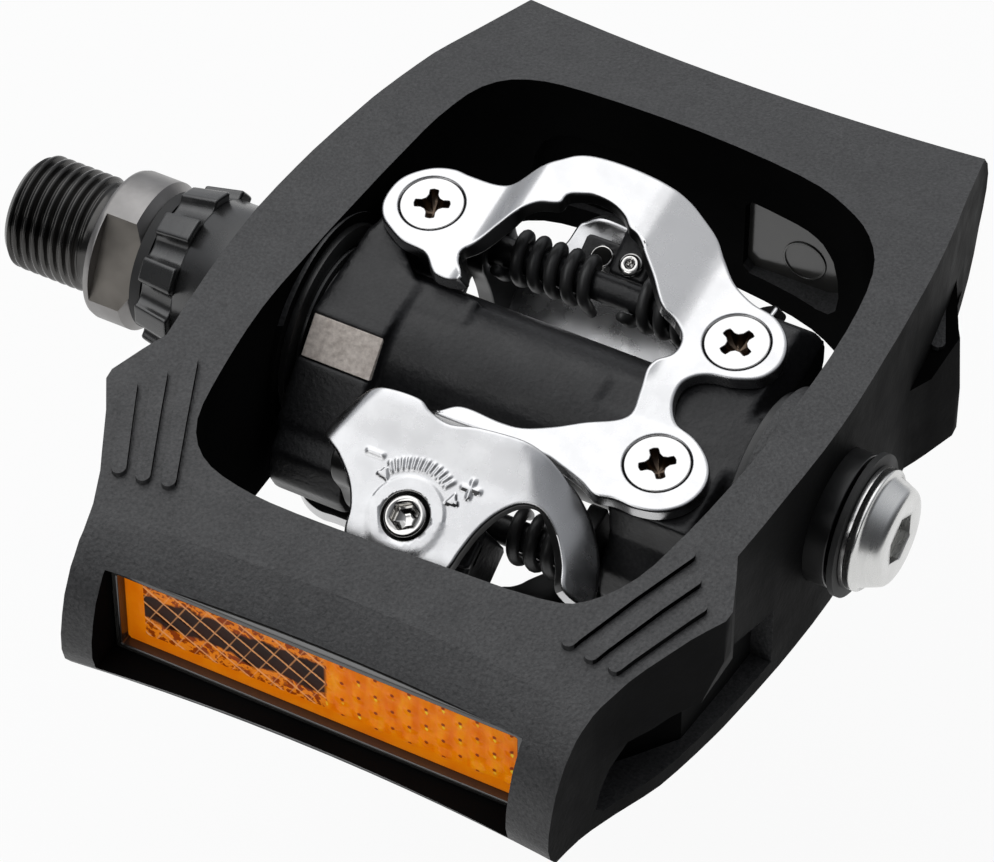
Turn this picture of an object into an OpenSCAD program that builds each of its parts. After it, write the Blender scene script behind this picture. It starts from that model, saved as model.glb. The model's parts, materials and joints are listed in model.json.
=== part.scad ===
// Clipless pedal: two-sided binding on a sealed cartridge axle, with a sprung pop-up cage.
// +X runs from the crank outwards along the spindle axis, +Z is up, +Y is the far end of the cage.
// The origin is on the spindle axis, in the face that seats against the crank.
// Everything in the binding is drawn flat, then turned by binding_tilt about the spindle axis.

/* [Spindle] */
// Major diameter of the crank thread
thread_d = 14.28; // [14:0.01:14.6]
// Pitch of the crank thread
thread_pitch = 1.27; // [1:0.01:1.5]
// Length of the crank thread
thread_len = 12.4; // [10:0.1:15]
// Diameter of the spindle's collar
collar_d = 18.6; // [17:0.1:20]
// Length of the collar
collar_len = 6.4; // [5.4:0.1:7]
// Distance across the collar's two wrench flats
flats_af = 15; // [14:0.1:16.5]
// Diameter of the spindle inside the seal
seal_land_d = 12.6; // [12:0.1:13]
// Diameter of the shaft under the bearing cone
cone_seat_d = 6.6; // [6:0.1:7]

/* [Lock sleeve] */
// Diameter over the sleeve's teeth
tooth_d = 21.6; // [20.8:0.1:22]
// Number of teeth for the removal tool
tooth_n = 10; // [8:1:12]
// Length of the toothed ring
tooth_len = 4.8; // [4:0.1:5.5]
// Diameter of the plain sleeve that the cage turns on
sleeve_d = 19.6; // [19.2:0.1:20.4]
// Thickness of the dust seal
seal_t = 1.5; // [1:0.1:1.8]

/* [Bearings] */
// Diameter of the ball tracks in the bearing sleeve
race_d = 14.2; // [14:0.05:14.3]
// Wall of the bearing sleeve at the ball tracks
race_wall = 0.75; // [0.6:0.05:0.8]
// Diameter of the inboard balls
inboard_ball_d = 2.3; // [2:0.05:2.4]
// Diameter of the outboard balls
outboard_ball_d = 2.8; // [2.4:0.05:2.9]
// Balls in the inboard ring
inboard_n = 14; // [10:1:15]
// Balls in the outboard ring
outboard_n = 11; // [8:1:12]

/* [Binding] */
// Angle by which the binding stands front end up
binding_tilt = 11; // [8:0.5:12]
// Diameter of the body's barrel
barrel_d = 17.6; // [17.4:0.1:18]
// Height of the claw plate's top above the spindle axis
deck_k = 11.2; // [10.8:0.1:11.6]
// Thickness of the front claw plate
plate_t = 2; // [1.6:0.1:2.2]
// Step down of the plate from its deck to its tongue
tongue_drop = 1.3; // [1:0.1:1.5]
// Height of the raised hoop above the spindle axis
hoop_k = 13.5; // [13:0.1:14]
// Height of the rear claw's jaw above the spindle axis
jaw_k = 12.5; // [12.3:0.1:12.8]
// Thickness of the rear claw's sheet
claw_t = 2; // [1.6:0.1:2.1]
// Head diameter of the countersunk plate screws
screw_head_d = 7.5; // [7:0.1:8]
// Thread diameter of the plate screws
screw_d = 3.4; // [3:0.1:4]
// Head diameter of the tension bolt
tension_head_d = 4.9; // [4.4:0.1:5.1]
// Thread diameter of the tension bolt
tension_d = 3; // [2.6:0.1:3.2]
// Socket of the tension bolt, across flats
tension_hex = 3; // [2.5:0.1:3.2]

/* [Claw spring] */
// Diameter of the claw springs' wire
wire_d = 1.9; // [1.6:0.1:2]
// Mean diameter of the claw springs' coils
coil_d = 8; // [7.6:0.1:8.2]
// Rise of a coil per turn
coil_pitch = 2.4; // [2.35:0.05:2.5]
// Turns in the left coil
left_turns = 5; // [3:1:5]
// Turns in the right coil
right_turns = 3; // [2:1:3]
// Diameter of the rear claws' pivot pins
pin_d = 4.8; // [4.4:0.1:5]

/* [Pop-up spring] */
// Diameter of the pop-up spring's wire
pop_wire_d = 1.2; // [1:0.1:1.3]
// Clearance of the pop-up spring round the lock sleeve
pop_clear = 0.95; // [0.8:0.05:1.1]
// Turns in the pop-up spring
pop_turns = 2; // [1:1:2]

/* [Cage] */
// Height of the cage's crown above the spindle axis
crown_z = 14; // [13.6:0.1:15]
// Half width of the cage at the spindle
cage_half_w = 37.5; // [37:0.1:38.5]
// Half length of the cage at the corners of its ends
cage_half_l = 55.6; // [55:0.1:57]
// Depth by which each end is hollowed in plan
end_sag = 1.9; // [1:0.1:2.5]
// Height of the grip ribs
rib_h = 0.7; // [0.4:0.1:1]
// Width of the grip ribs
rib_w = 1.7; // [1.2:0.1:2.2]
// Wall of the left bushing
left_bush_wall = 1.4; // [1.2:0.1:1.6]
// Wall of the right bushing
right_bush_wall = 1.45; // [1.2:0.05:1.6]
// Width of the right bushing's flange
flange_w = 5; // [4:0.1:5.4]
// Diameter of the body's outer journal
journal_d = 13; // [12:0.1:13.4]

/* [End bolt] */
// Diameter of the end bolt's head at the washer
end_head_d = 14.6; // [14:0.1:15.2]
// Diameter of the end bolt's outer face
end_face_d = 10; // [9:0.1:11]
// Length of the end bolt's head
end_head_len = 3.8; // [3.2:0.1:4.4]
// Thread diameter of the end bolt
end_bolt_d = 6.4; // [6:0.1:7]
// Socket of the end bolt, across flats
end_hex = 6; // [5:0.1:6]

/* [Reflectors] */
// Width of the window in each end of the cage
window_w = 52; // [48:0.5:53]
// Height of the window
window_h = 13; // [11:0.1:13.5]
// Distance from the spindle axis to the lens
lens_y = 49.8; // [48:0.1:50.2]
// Thickness of the lens
lens_t = 2.4; // [2:0.1:3]

/* [Hidden] */
$fn = 64;

run = 0.05;          // radial clearance of a running fit
gap = 0.3;           // clearance between bodies that pass each other
eps = 0.05;          // overshoot of a cutter through a face
far = 200;           // size of a cutter that only has to be big

// Stations along the spindle, from the crank outwards
pedal_x = 57;                                  // middle of the cage
seal_x = collar_len;
tooth_x = seal_x + seal_t + 0.1;
plain_x = tooth_x + tooth_len;
cage_left_x = pedal_x - cage_half_w;
body_x = pedal_x - 26.5;                       // inner end of the barrel
screw_in_x = body_x + 6;                       // end of the lock sleeve's thread
race_x = 16.2;                                 // inboard ball track
race_w = 3.4;
lip_w = 1.5;
cone_x = 71;                                   // outboard ball track
cone_w = 4;
nut_w = 3;
spindle_end_x = cone_x + cone_w + nut_w + 1.4;
sleeve_end_x = cone_x + cone_w + 1;
bore_end_x = spindle_end_x + 1.4;
barrel_end_x = pedal_x + 28;
journal_end_x = pedal_x + cage_half_w + 2.9;
left_boss_x = pedal_x - 27.9;                  // inner faces of the cage's two bosses
right_boss_x = pedal_x + 29.5;

race_od = race_d + 2 * race_wall;
shaft_d = race_d - 2 * inboard_ball_d - 4 * run;
cone_d = race_d - 2 * outboard_ball_d - 4 * run;
inboard_ring_r = (race_d + shaft_d) / 4;
outboard_ring_r = (race_d + cone_d) / 4;
sleeve_thread_d = race_od + 1.5;
left_bush_d = sleeve_d + 2 * run + 2 * left_bush_wall;
right_bush_d = journal_d + 2 * run + 2 * right_bush_wall;
flange_d = journal_d + 2 * flange_w;
pop_coil_d = sleeve_d + 2 * pop_clear + pop_wire_d;
cover_d = pop_coil_d + pop_wire_d + 0.9;

// Binding: x is measured from the pedal's middle, y and k lie in the tilted frame
plate_k = deck_k - plate_t;
seat_k = plate_k - 0.03;
screw_at = [[-20.4, 13.2], [20.8, 9.9], [19.7, -7.9]];
screw_k = [deck_k, deck_k, deck_k - tongue_drop];
screw_turn = [20, 62, 38];
screw_tip = 5.8;
screw_cone_h = (screw_head_d - screw_d) / 2;
pivot_y = -15.5;
pivot_k = -4;
bolt_x = -3.8;
bolt_y = -24.4;
bolt_lean = 21;                                // lean of the tension bolt from upright
bolt_k = jaw_k - 5.6;
bolt_len = 9;
arm_x = 16.3;                                  // inner face of the body's arms
ear_x = 13.6;                                  // inner face of the rear claw's ears
ear_t = 2.2;
coil_left_x = -13;
coil_right_x = 3.4;

// ---- helpers ----

// Extrudes a (y, z) outline along X from x0 to x1
module along_x(points, x0, x1)
    translate([x0, 0, 0]) rotate([90, 0, 90]) linear_extrude(x1 - x0) polygon(points);

// Extrudes an (x, z) outline along Y from y0 to y1
module along_y(points, y0, y1)
    translate([0, y1, 0]) rotate([90, 0, 0]) linear_extrude(y1 - y0) polygon(points);

// Cylinder along X
module rod(d, x0, x1)
    translate([x0, 0, 0]) rotate([0, 90, 0]) cylinder(d = d, h = x1 - x0);

// Revolves an (x, r) outline about the spindle axis
module turned(points)
    rotate([0, 90, 0]) rotate_extrude() polygon([for (p = points) [p[1], p[0]]]);

// The same shape turned half a turn about the spindle axis
module other_side() rotate([180, 0, 0]) children();

module both_sides() {
    children();
    other_side() children();
}

// Puts a flat-drawn binding part in its place on the tilted body
module in_binding() rotate([binding_tilt, 0, 0]) translate([pedal_x, 0, 0]) children();

module on_cage() translate([pedal_x, 0, 0]) children();

function opposite(points) = [for (p = points) [-p[0], -p[1]]];

function lowered(points, d) = [for (p = points) [p[0], p[1] - d]];

// A Catmull-Rom curve through the points, with n steps to a span
function curve_at(a, b, c, d, t) = 0.5 * ((2 * b) + (c - a) * t
    + (2 * a - 5 * b + 4 * c - d) * t * t + (3 * b - a - 3 * c + d) * t * t * t);
function closed_curve(p, n = 4) = let (m = len(p))
    [for (i = [0:m - 1], s = [0:n - 1])
        curve_at(p[(i + m - 1) % m], p[i], p[(i + 1) % m], p[(i + 2) % m], s / n)];
function open_curve(p, n = 4) = let (m = len(p))
    [for (i = [0:m - 2], s = [0:n - 1])
        curve_at(p[max(i - 1, 0)], p[i], p[i + 1], p[min(i + 2, m - 1)], s / n), p[m - 1]];

// ---- springs ----

coil_sides = 6;
coil_rings = 8;

// A straight-legged helix along X: legs of one wire diameter leave square to the axis
function helix(r, pitch, turns, start) =
    [for (i = [0:turns * coil_rings]) let (a = start + 360 * i / coil_rings)
        [pitch * i / coil_rings, r * cos(a), r * sin(a)]];
function unit(v) = v / norm(v);
function heading(p, i) = unit(p[min(i + 1, len(p) - 1)] - p[max(i - 1, 0)]);
function ring_around(p, i, r) = let (t = heading(p, i), u = unit(cross(t, [1, 0, 0.001])),
    v = cross(t, u)) [for (s = [0:coil_sides - 1]) let (a = 360 * s / coil_sides)
        p[i] + r * (cos(a) * u + sin(a) * v)];

module tube(path, d) {
    n = len(path);
    last = (n - 1) * coil_sides;
    points = [for (i = [0:n - 1]) each ring_around(path, i, d / 2)];
    walls = [for (i = [0:n - 2], s = [0:coil_sides - 1]) let (a = i * coil_sides + s,
        b = i * coil_sides + (s + 1) % coil_sides)
        each [[a, b, a + coil_sides], [b, b + coil_sides, a + coil_sides]]];
    near_end = [for (s = [1:coil_sides - 2]) [0, s + 1, s]];
    far_end = [for (s = [1:coil_sides - 2]) [last, last + s, last + s + 1]];
    polyhedron(points, concat(walls, near_end, far_end));
}

// Least distance between the centre line's points that lie over half a turn apart
function self_gap(path, d) = min([for (i = [0:len(path) - 1],
    j = [i + coil_rings / 2 + 1:1:len(path) - 1]) norm(path[i] - path[j])]) - d;

leg = wire_d + 0.4;
function claw_coil(turns, x0, a0) = let (h = helix(coil_d / 2, coil_pitch, turns, a0),
    n = len(h) - 1)
    [for (p = concat([h[0] - leg * heading(h, 0)], h, [h[n] + leg * heading(h, n)]))
        p + [x0 + wire_d / 2, 0, 0]];
left_coil = claw_coil(left_turns, coil_left_x, 150);
right_coil = claw_coil(right_turns, coil_right_x, 150);
pop_coil = helix(pop_coil_d / 2, (4 - pop_wire_d / 2) / pop_turns, pop_turns, 20);
echo(left_coil_gap = self_gap(left_coil, wire_d), right_coil_gap = self_gap(right_coil, wire_d),
    pop_coil_gap = self_gap(pop_coil, pop_wire_d));

// ---- axle ----

thread_depth = 0.55;
thread_end_r = thread_d / 2;

// One ring of the thread, from crest to crest
function thread_ring(x) = [[x, thread_end_r], [x + thread_pitch * 0.2, thread_end_r],
    [x + thread_pitch * 0.5, thread_end_r - thread_depth],
    [x + thread_pitch * 0.7, thread_end_r - thread_depth]];

flats_turn = 62;     // turn of the wrench flats about the axis
flange_t = 1.3;      // rim left between the flats and the crank
module spindle() color("dimgray") {
    chamfer = 1;
    rings = floor((thread_len - chamfer - 1.4) / thread_pitch);
    first = -thread_len + chamfer;
    difference() {
        union() {
            turned(concat([[-thread_len, 0], [-thread_len, thread_end_r - chamfer]],
                [for (i = [0:rings - 1]) each thread_ring(first + i * thread_pitch)],
                [[first + rings * thread_pitch, thread_end_r], [-0.4, thread_end_r],
                    [-0.25, thread_end_r - 0.5], [0, thread_end_r - 0.5], [0, 0]]));
            difference() {
                turned([[0, 0], [0, collar_d / 2 - 1.1], [0.5, collar_d / 2 - 0.2],
                    [1.1, collar_d / 2], [collar_len - 1.1, collar_d / 2],
                    [collar_len, collar_d / 2 - 1.1], [collar_len, 0]]);
                both_sides() rotate([flats_turn, 0, 0])
                    translate([flange_t, -far / 2, flats_af / 2]) cube([far, far, far]);
            }
            turned([[collar_len - eps, 0], [collar_len - eps, seal_land_d / 2],
                [race_x - 2, seal_land_d / 2], [race_x, shaft_d / 2 + 0.5], [race_x, shaft_d / 2],
                [race_x + race_w + lip_w + 1, shaft_d / 2], [cone_x - 1, cone_seat_d / 2 + 0.8],
                [cone_x - 1, cone_seat_d / 2], [spindle_end_x - 0.6, cone_seat_d / 2],
                [spindle_end_x, cone_seat_d / 2 - 0.6], [spindle_end_x, 0]]);
        }
        translate([-thread_len - 1, 0, 0]) rod(5, 0, 2);
    }
}

module dust_seal() color("black")
    turned([[seal_x + 0.1, seal_land_d / 2 + run], [seal_x + 0.1, collar_d / 2 - 0.8],
        [seal_x + seal_t, collar_d / 2 - 0.8], [seal_x + seal_t, seal_land_d / 2 + run]]);

module lock_sleeve() color("black") {
    root_d = tooth_d - 3;
    tooth_w = 3.3;
    difference() {
        union() {
            turned([[tooth_x, 0], [tooth_x, root_d / 2 - 0.5], [tooth_x + 0.5, root_d / 2],
                [plain_x, root_d / 2], [plain_x, sleeve_d / 2], [body_x - 0.2, sleeve_d / 2],
                [body_x - 0.2, sleeve_thread_d / 2], [screw_in_x, sleeve_thread_d / 2],
                [screw_in_x, 0]]);
            intersection() {
                turned([[tooth_x, 0], [tooth_x, tooth_d / 2 - 1.1], [tooth_x + 0.8, tooth_d / 2 - 0.4],
                    [plain_x - 0.5, tooth_d / 2], [plain_x, tooth_d / 2 - 0.5], [plain_x, 0]]);
                for (i = [0:tooth_n - 1]) rotate([360 * (i + 0.5) / tooth_n, 0, 0])
                    translate([tooth_x, -tooth_w / 2, 0]) cube([tooth_len, tooth_w, tooth_d]);
            }
        }
        rod(seal_land_d + 2 * gap, 0, race_x);
        rod(race_od + 2 * run, race_x - 0.1, screw_in_x + 1);
    }
}

module bearing_sleeve() color("silver") {
    wall_d = race_d - 1.2;
    turned([[race_x, race_od / 2], [race_x, race_d / 2], [race_x + race_w, race_d / 2],
        [race_x + race_w, shaft_d / 2 + gap], [race_x + race_w + lip_w, shaft_d / 2 + gap],
        [race_x + race_w + lip_w, wall_d / 2], [cone_x - lip_w, wall_d / 2],
        [cone_x - lip_w, cone_seat_d / 2 + 0.8 + gap], [cone_x, cone_seat_d / 2 + 0.8 + gap],
        [cone_x, race_d / 2], [sleeve_end_x, race_d / 2], [sleeve_end_x, race_od / 2]]);
}

module ball_ring(n, ball_r, ring_r, x)
    for (i = [0:n - 1]) rotate([360 * i / n, 0, 0]) translate([x, 0, ring_r])
        sphere(r = ball_r);

module inboard_balls() color("lightsteelblue")
    ball_ring(inboard_n, inboard_ball_d / 2, inboard_ring_r, race_x + race_w / 2);

module outboard_balls() color("lightsteelblue")
    ball_ring(outboard_n, outboard_ball_d / 2, outboard_ring_r, cone_x + cone_w / 2 - 0.3);

module bearing_cone() color("silver")
    turned([[cone_x - 0.9, cone_seat_d / 2 + run], [cone_x - 0.9, cone_d / 2 - 0.1],
        [cone_x, cone_d / 2], [cone_x + cone_w, cone_d / 2],
        [cone_x + cone_w, cone_seat_d / 2 + run]]);

module lock_nut() color("silver") {
    nut_x = cone_x + cone_w + 0.1;
    nut_af = 11;
    difference() {
        translate([nut_x, 0, 0]) rotate([0, 90, 0]) cylinder(d = nut_af / cos(30), h = nut_w, $fn = 6);
        rod(cone_seat_d + 2 * run, 0, far);
    }
}

// ---- binding body ----

hub = [[8.4, 9.2], [-5, 9.5], [-9.3, 6.2], [-15.5, 1.3], [-15.5, -4]];
hub_plan = [[-26.5, 30], [-26.5, -30], [-17, -30], [-17, 3.4], [-20.8, 7.1], [-20.8, 30]];
left_arm = [[8, seat_k], [17.4, seat_k], [19.2, 7], [20, 3.8], [18.6, 0.4], [15.5, -0.9], [8, -1]];
right_block = [[17, seat_k - 1], [15.8, seat_k], [-4, seat_k], [-14, seat_k - tongue_drop],
    [-14.4, 3], [-16, 1]];
right_block_end = [[16.6, -0.8], [18.6, 0.4], [20, 3.8], [19.2, 6.4]];
step_high = 5;       // where the plate starts to step down, and where it ends
step_low = -3;

module body_solid() {
    rotate([-binding_tilt, 0, 0]) rod(barrel_d, -26.5, 28);
    intersection() {
        along_x(concat(hub, opposite(hub)), -26.5, -16);
        both_sides() linear_extrude(30) polygon(hub_plan);
    }
    both_sides() {
        along_x(left_arm, -26, -arm_x);
        // Ledge beside the hub
        translate([-17.2, 0.8, 4]) cube([7.6, 3.8, 5]);
    }
    intersection() {
        along_x(concat(right_block, opposite(right_block_end), opposite(right_block),
            right_block_end), arm_x, 27.6);
        along_y([[0, -seat_k - 1], [25.4, -seat_k - 1], [27.6, -5], [27.6, 5],
            [25.4, seat_k + 1], [0, seat_k + 1]], -30, 30);
    }
}

module seats() {
    // The plate's underside: deck, step and tongue
    translate([-30, step_high, seat_k]) cube([60, 30, 20]);
    along_x([[step_high + eps, seat_k], [step_low, seat_k - tongue_drop], [step_low, 30],
        [step_high + eps, 30]], 9, 30);
    translate([9, -30, seat_k - tongue_drop]) cube([30, 30 + step_low + 0.3, 20]);
    // Room for the claw's ears and coils
    translate([-arm_x, pivot_y, pivot_k]) rotate([0, 90, 0])
        cylinder(r = coil_d / 2 + wire_d / 2 + 0.8, h = 2 * arm_x);
    // Threads for the plate screws and the bore of the pin
    for (p = screw_at) translate([p[0], p[1], screw_tip - gap]) cylinder(d = screw_d + gap, h = 12);
    translate([-18.5, pivot_y, pivot_k]) rotate([0, 90, 0])
        cylinder(d = pin_d + 2 * run, h = 37);
    // Slot of the stop pad
    along_x([[-5.2, 9.9], [-5, 8.6], [-8.7, 5.5], [-9.6, 6.4]], -26.6, -arm_x);
}

module binding_body() color("black") {
    rotate([binding_tilt, 0, 0]) translate([pedal_x, 0, 0]) difference() {
        body_solid();
        both_sides() seats();
        translate([-pedal_x, 0, 0]) {
            rod(race_od + 2 * run, 0, bore_end_x);
            rod(end_bolt_d + 2 * run, bore_end_x + 2.5, far);
            rod(sleeve_thread_d + 2 * run, 0, screw_in_x + 0.3);
        }
    }
    difference() {
        rod(journal_d, barrel_end_x - 1, journal_end_x);
        rod(end_bolt_d + 2 * run, bore_end_x + 2.5, far);
    }
}

module stop_pads() color("rosybrown") in_binding() both_sides()
    along_x([[-5.1, 9.3], [-5.1, 8.72], [-8.72, 5.68], [-9.25, 6.2]], -26, -17);

// ---- front claw ----

hoop_out = [[-18.3, 18.7], [-14.6, 18.9], [-12.6, 19.9], [-10.9, 21.7], [-8.8, 23.6],
    [-5.4, 25.6], [-1, 26], [3.6, 25.5], [7.4, 24.6], [10.2, 23.3], [12.6, 21.6], [14.2, 19.8],
    [17, 17.2], [20.4, 15.6]];
hoop_in = [[15, 6.9], [14.4, 8.5], [12.7, 9.9], [11, 10.6], [8.3, 13.6], [6.6, 15.3], [4.2, 17.5],
    [3.1, 18], [1.8, 19.2], [-0.3, 20.2], [-2.7, 20.4], [-4.4, 20], [-5.7, 18.8], [-6, 17.8],
    [-8, 16.9], [-9.6, 15.2], [-11.6, 12.6], [-13.1, 10], [-13.8, 8.4], [-13.4, 6.9], [-11.9, 4.8],
    [-11.5, 3.6], [-12.3, 3.1], [-14.8, 3], [-18, 6.6]];
strap = [[15, 8], [14.8, 5.5], [13.5, 4], [13.1, 2.6], [13.4, -0.2], [13.8, -2.9], [13.1, -4.1],
    [11, -8], [15.3, -14.6], [22, -13.6], [25.6, -7], [24.4, -4.9], [22, -3.1], [19.2, -2.2],
    [17.8, -0.3], [17.5, 2.1], [18.6, 3.8], [22, 5], [22, 8]];
tongue = [[13.2, -4], [9.6, -6.2], [6.7, -8.2], [3.5, -9.8], [1, -10.2], [-3.2, -9.9], [-4.6, -10.3],
    [-6.3, -11.6], [-6.9, -12.1], [8, -12.1], [9.6, -12.5], [13, -13.6], [15.2, -14.6], [16, -6]];

module front_claw_outline() {
    translate([-20.4, 13.2, 0]) cylinder(r = 5.5, h = 20);
    translate([21, 9.9, 0]) cylinder(r = 5.6, h = 20);
    translate([20.1, -8.5, 0]) cylinder(r = 5.8, h = 20);
    linear_extrude(20) polygon(concat([[-22, 8], [-23.4, 17.8]], open_curve(hoop_out, 3),
        [[25.2, 12.8], [25.4, 8], [21, 5]], hoop_in));
    linear_extrude(20) polygon(strap);
    linear_extrude(20) polygon(tongue);
}

// Top faces of the plate's sheets: across the hoop, and down the step to the tongue
fold_left = -13.1;
fold_right = 13.8;
hoop_left = [[-30, deck_k], [fold_left - 0.4, deck_k], [fold_left + 0.3, deck_k + 0.3],
    [-10.6, hoop_k - 0.4], [-9.6, hoop_k], [0.5, hoop_k]];
hoop_right = [[0, hoop_k], [3.6, hoop_k], [5.6, hoop_k - 0.2], [fold_right - 0.8, deck_k + 0.2],
    [fold_right + 0.6, deck_k], [30, deck_k]];
step_line = [[-30, deck_k - tongue_drop], [step_low, deck_k - tongue_drop], [step_high, deck_k],
    [step_high + 1, deck_k]];

function sheet(line, t) = concat(line, [for (i = [len(line) - 1:-1:0]) line[i] - [0, t]]);

module bent_sheets() {
    along_y(sheet(hoop_left, plate_t), 2.9, 27);
    along_y(sheet(hoop_right, plate_t), step_high - eps, 27);
    along_x(sheet(step_line, plate_t), -9, 30);
}

module front_claw() difference() {
    intersection() {
        front_claw_outline();
        bent_sheets();
    }
    for (i = [0:2]) translate([screw_at[i][0], screw_at[i][1], 0]) {
        cylinder(d = screw_d + 0.3, h = 20);
        translate([0, 0, screw_k[i] - screw_cone_h - 0.12])
            cylinder(d1 = screw_d + 0.2, d2 = screw_head_d + 0.44, h = screw_cone_h + 0.12);
    }
}

module top_front_claw() color("silver") in_binding() front_claw();
module bottom_front_claw() color("silver") other_side() in_binding() front_claw();

module plate_screw(top) difference() {
    union() {
        translate([0, 0, top - screw_cone_h - 0.1])
            cylinder(d1 = screw_d, d2 = screw_head_d, h = screw_cone_h);
        translate([0, 0, screw_tip]) cylinder(d = screw_d, h = top - screw_cone_h - screw_tip);
    }
    cross_w = 1.1;
    cross_l = 4.4;
    for (a = [0, 90]) rotate([0, 0, a])
        translate([-cross_l / 2, -cross_w / 2, top - 1.7]) cube([cross_l, cross_w, 3]);
}

module plate_screws() for (i = [0:2])
    translate([screw_at[i][0], screw_at[i][1], 0]) rotate([0, 0, screw_turn[i]])
        plate_screw(screw_k[i]);
module top_plate_screws() color("gainsboro") in_binding() plate_screws();
module bottom_plate_screws() color("gainsboro") other_side() in_binding() plate_screws();

// ---- rear claw ----

claw_outline = [[-17.6, -18.6], [-15.4, -14], [-13.6, -12.8], [-11.6, -12.5], [-7.4, -12.5],
    [-6, -13.5], [-3.6, -13.9], [0.2, -13.1], [6.3, -12.6], [9.5, -13.1], [13, -14.2], [15.6, -16],
    [18, -19.2], [19.2, -22.6], [19.2, -24.6], [15.8, -24.6], [15, -22.4], [13, -19.9], [10.6, -18.6],
    [8.2, -18.9], [6.2, -20.6], [4.8, -23], [4, -25.6], [3.4, -28.4], [1.6, -29.6], [-8, -29.8],
    [-9.8, -28.6], [-10.4, -25.6], [-11.8, -23.2], [-14.2, -21]];
claw_side = [[-32, jaw_k - 11], [-30.2, jaw_k - 9.4], [-29, jaw_k - 7.6], [-27.5, jaw_k - 6.7],
    [-24.4, jaw_k - 5.5], [-18, jaw_k - 2.9], [-14.6, jaw_k - 1.1], [-13.2, jaw_k - 0.3], [-12, jaw_k]];
claw_line = [[-18, jaw_k - 5.4], [-16.4, jaw_k - 3.4], [-14, jaw_k - 1], [-12, jaw_k + 0.2],
    [-10, jaw_k + 0.4], [5, jaw_k + 0.4], [8, jaw_k - 0.6], [11, jaw_k - 3], [15, jaw_k - 6],
    [19.5, jaw_k - 10]];

module under_claw(d) intersection() {
    along_x(concat([[-32, -20]], lowered(claw_side, d), [[-12, -20]]), -20, 20);
    along_y(concat([[-18, -20]], lowered(claw_line, d), [[19.5, -20]]), -32, -12);
}

module at_bolt() translate([bolt_x, bolt_y, bolt_k]) rotate([bolt_lean, 0, 0]) children();

module at_pivot(x) translate([x, pivot_y, pivot_k]) rotate([0, 90, 0]) children();

ear_side = [[-18.4, -5], [-12.4, -5], [-12.6, 0], [-13.6, 9.4], [-17, 8.4], [-20.6, 6.2],
    [-21.2, 3.4], [-19.6, -1]];

module rear_claw() difference() {
    union() {
        difference() {
            intersection() {
                linear_extrude(60, center = true) polygon(closed_curve(claw_outline, 2));
                under_claw(0);
            }
            under_claw(claw_t);
        }
        for (x = [-ear_x - ear_t, ear_x]) {
            intersection() {
                along_x(ear_side, x, x + ear_t);
                under_claw(0.6);
            }
            at_pivot(x) cylinder(r = 3.9, h = ear_t);
        }
        // Embossed scale round the tension bolt: ticks, a minus and a plus
        intersection() {
            under_claw(-0.3);
            union() {
                for (i = [0:11]) at_bolt() rotate([0, 0, -12 + 15 * i])
                    translate([4.1, -0.25, -1]) cube([1.8, 0.5, 5]);
                at_bolt() rotate([0, 0, 141]) translate([8, -1.1, -1]) cube([0.7, 2.4, 5]);
                for (a = [0, 90]) at_bolt() translate([6.6, 4.4, 0]) rotate([0, 0, a + 8])
                    translate([-1.3, -0.3, -1]) cube([2.6, 0.6, 5]);
            }
        }
    }
    at_bolt() {
        translate([0, 0, -1.1]) cylinder(d = tension_head_d + 0.8, h = 8);
        cylinder(d = tension_d + 0.8, h = 20, center = true);
    }
    at_pivot(-far / 2) cylinder(d = pin_d + 2 * run, h = far);
}

module top_rear_claw() color("gainsboro") in_binding() rear_claw();
module bottom_rear_claw() color("gainsboro") other_side() in_binding() rear_claw();

module pivot_pin() at_pivot(-18.3) cylinder(d = pin_d, h = 36.6);
module top_pivot_pin() color("gray") in_binding() pivot_pin();
module bottom_pivot_pin() color("gray") other_side() in_binding() pivot_pin();

module claw_springs() translate([0, pivot_y, pivot_k]) {
    tube(left_coil, wire_d);
    tube(right_coil, wire_d);
}
module top_claw_springs() color("black") in_binding() claw_springs();
module bottom_claw_springs() color("black") other_side() in_binding() claw_springs();

module tension_bolt() at_bolt() difference() {
    union() {
        translate([0, 0, -0.95]) cylinder(d = tension_head_d, h = 1.5);
        translate([0, 0, -bolt_len]) cylinder(d = tension_d, h = bolt_len);
    }
    translate([0, 0, -0.5]) cylinder(d = tension_hex / cos(30), h = 3, $fn = 6);
}
module top_tension_bolt() color("silver") in_binding() tension_bolt();
module bottom_tension_bolt() color("silver") other_side() in_binding() tension_bolt();

nut_drop = 3.2;      // distance from the bolt's seat to the nut
nut_h = 3.6;
nut_reach = 14;      // distance from the bolt's seat to the tip of the nut's finger
module tension_nut() difference() {
    union() {
        at_bolt() translate([-3.4, -2.6, -nut_drop - nut_h]) cube([10.1, 5.2, nut_h]);
        // Finger beside the right coil
        at_bolt() translate([5.7, -2.6, -nut_reach]) cube([1, 2.4, nut_reach - nut_drop]);
    }
    at_bolt() cylinder(d = tension_d + 2 * run, h = 60, center = true);
}
module top_tension_nut() color("dimgray") in_binding() tension_nut();
module bottom_tension_nut() color("dimgray") other_side() in_binding() tension_nut();

// ---- cage ----

crown = [[54.2, crown_z - 5.6], [45, crown_z - 3.8], [36, crown_z - 2.2], [24, crown_z - 0.9],
    [12, crown_z - 0.2], [0, crown_z], [-12, crown_z - 0.15], [-24, crown_z - 0.8],
    [-33, crown_z - 1.9], [-40, crown_z - 3.2], [-47, crown_z - 5.2]];
crown_over = concat([[70, crown_z - 9]], crown, [[-70, crown_z - 12]]);

module crown_slab(lift)
    along_x(concat(lowered(crown_over, -lift), opposite(lowered(crown_over, -lift))), -50, 50);

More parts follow.
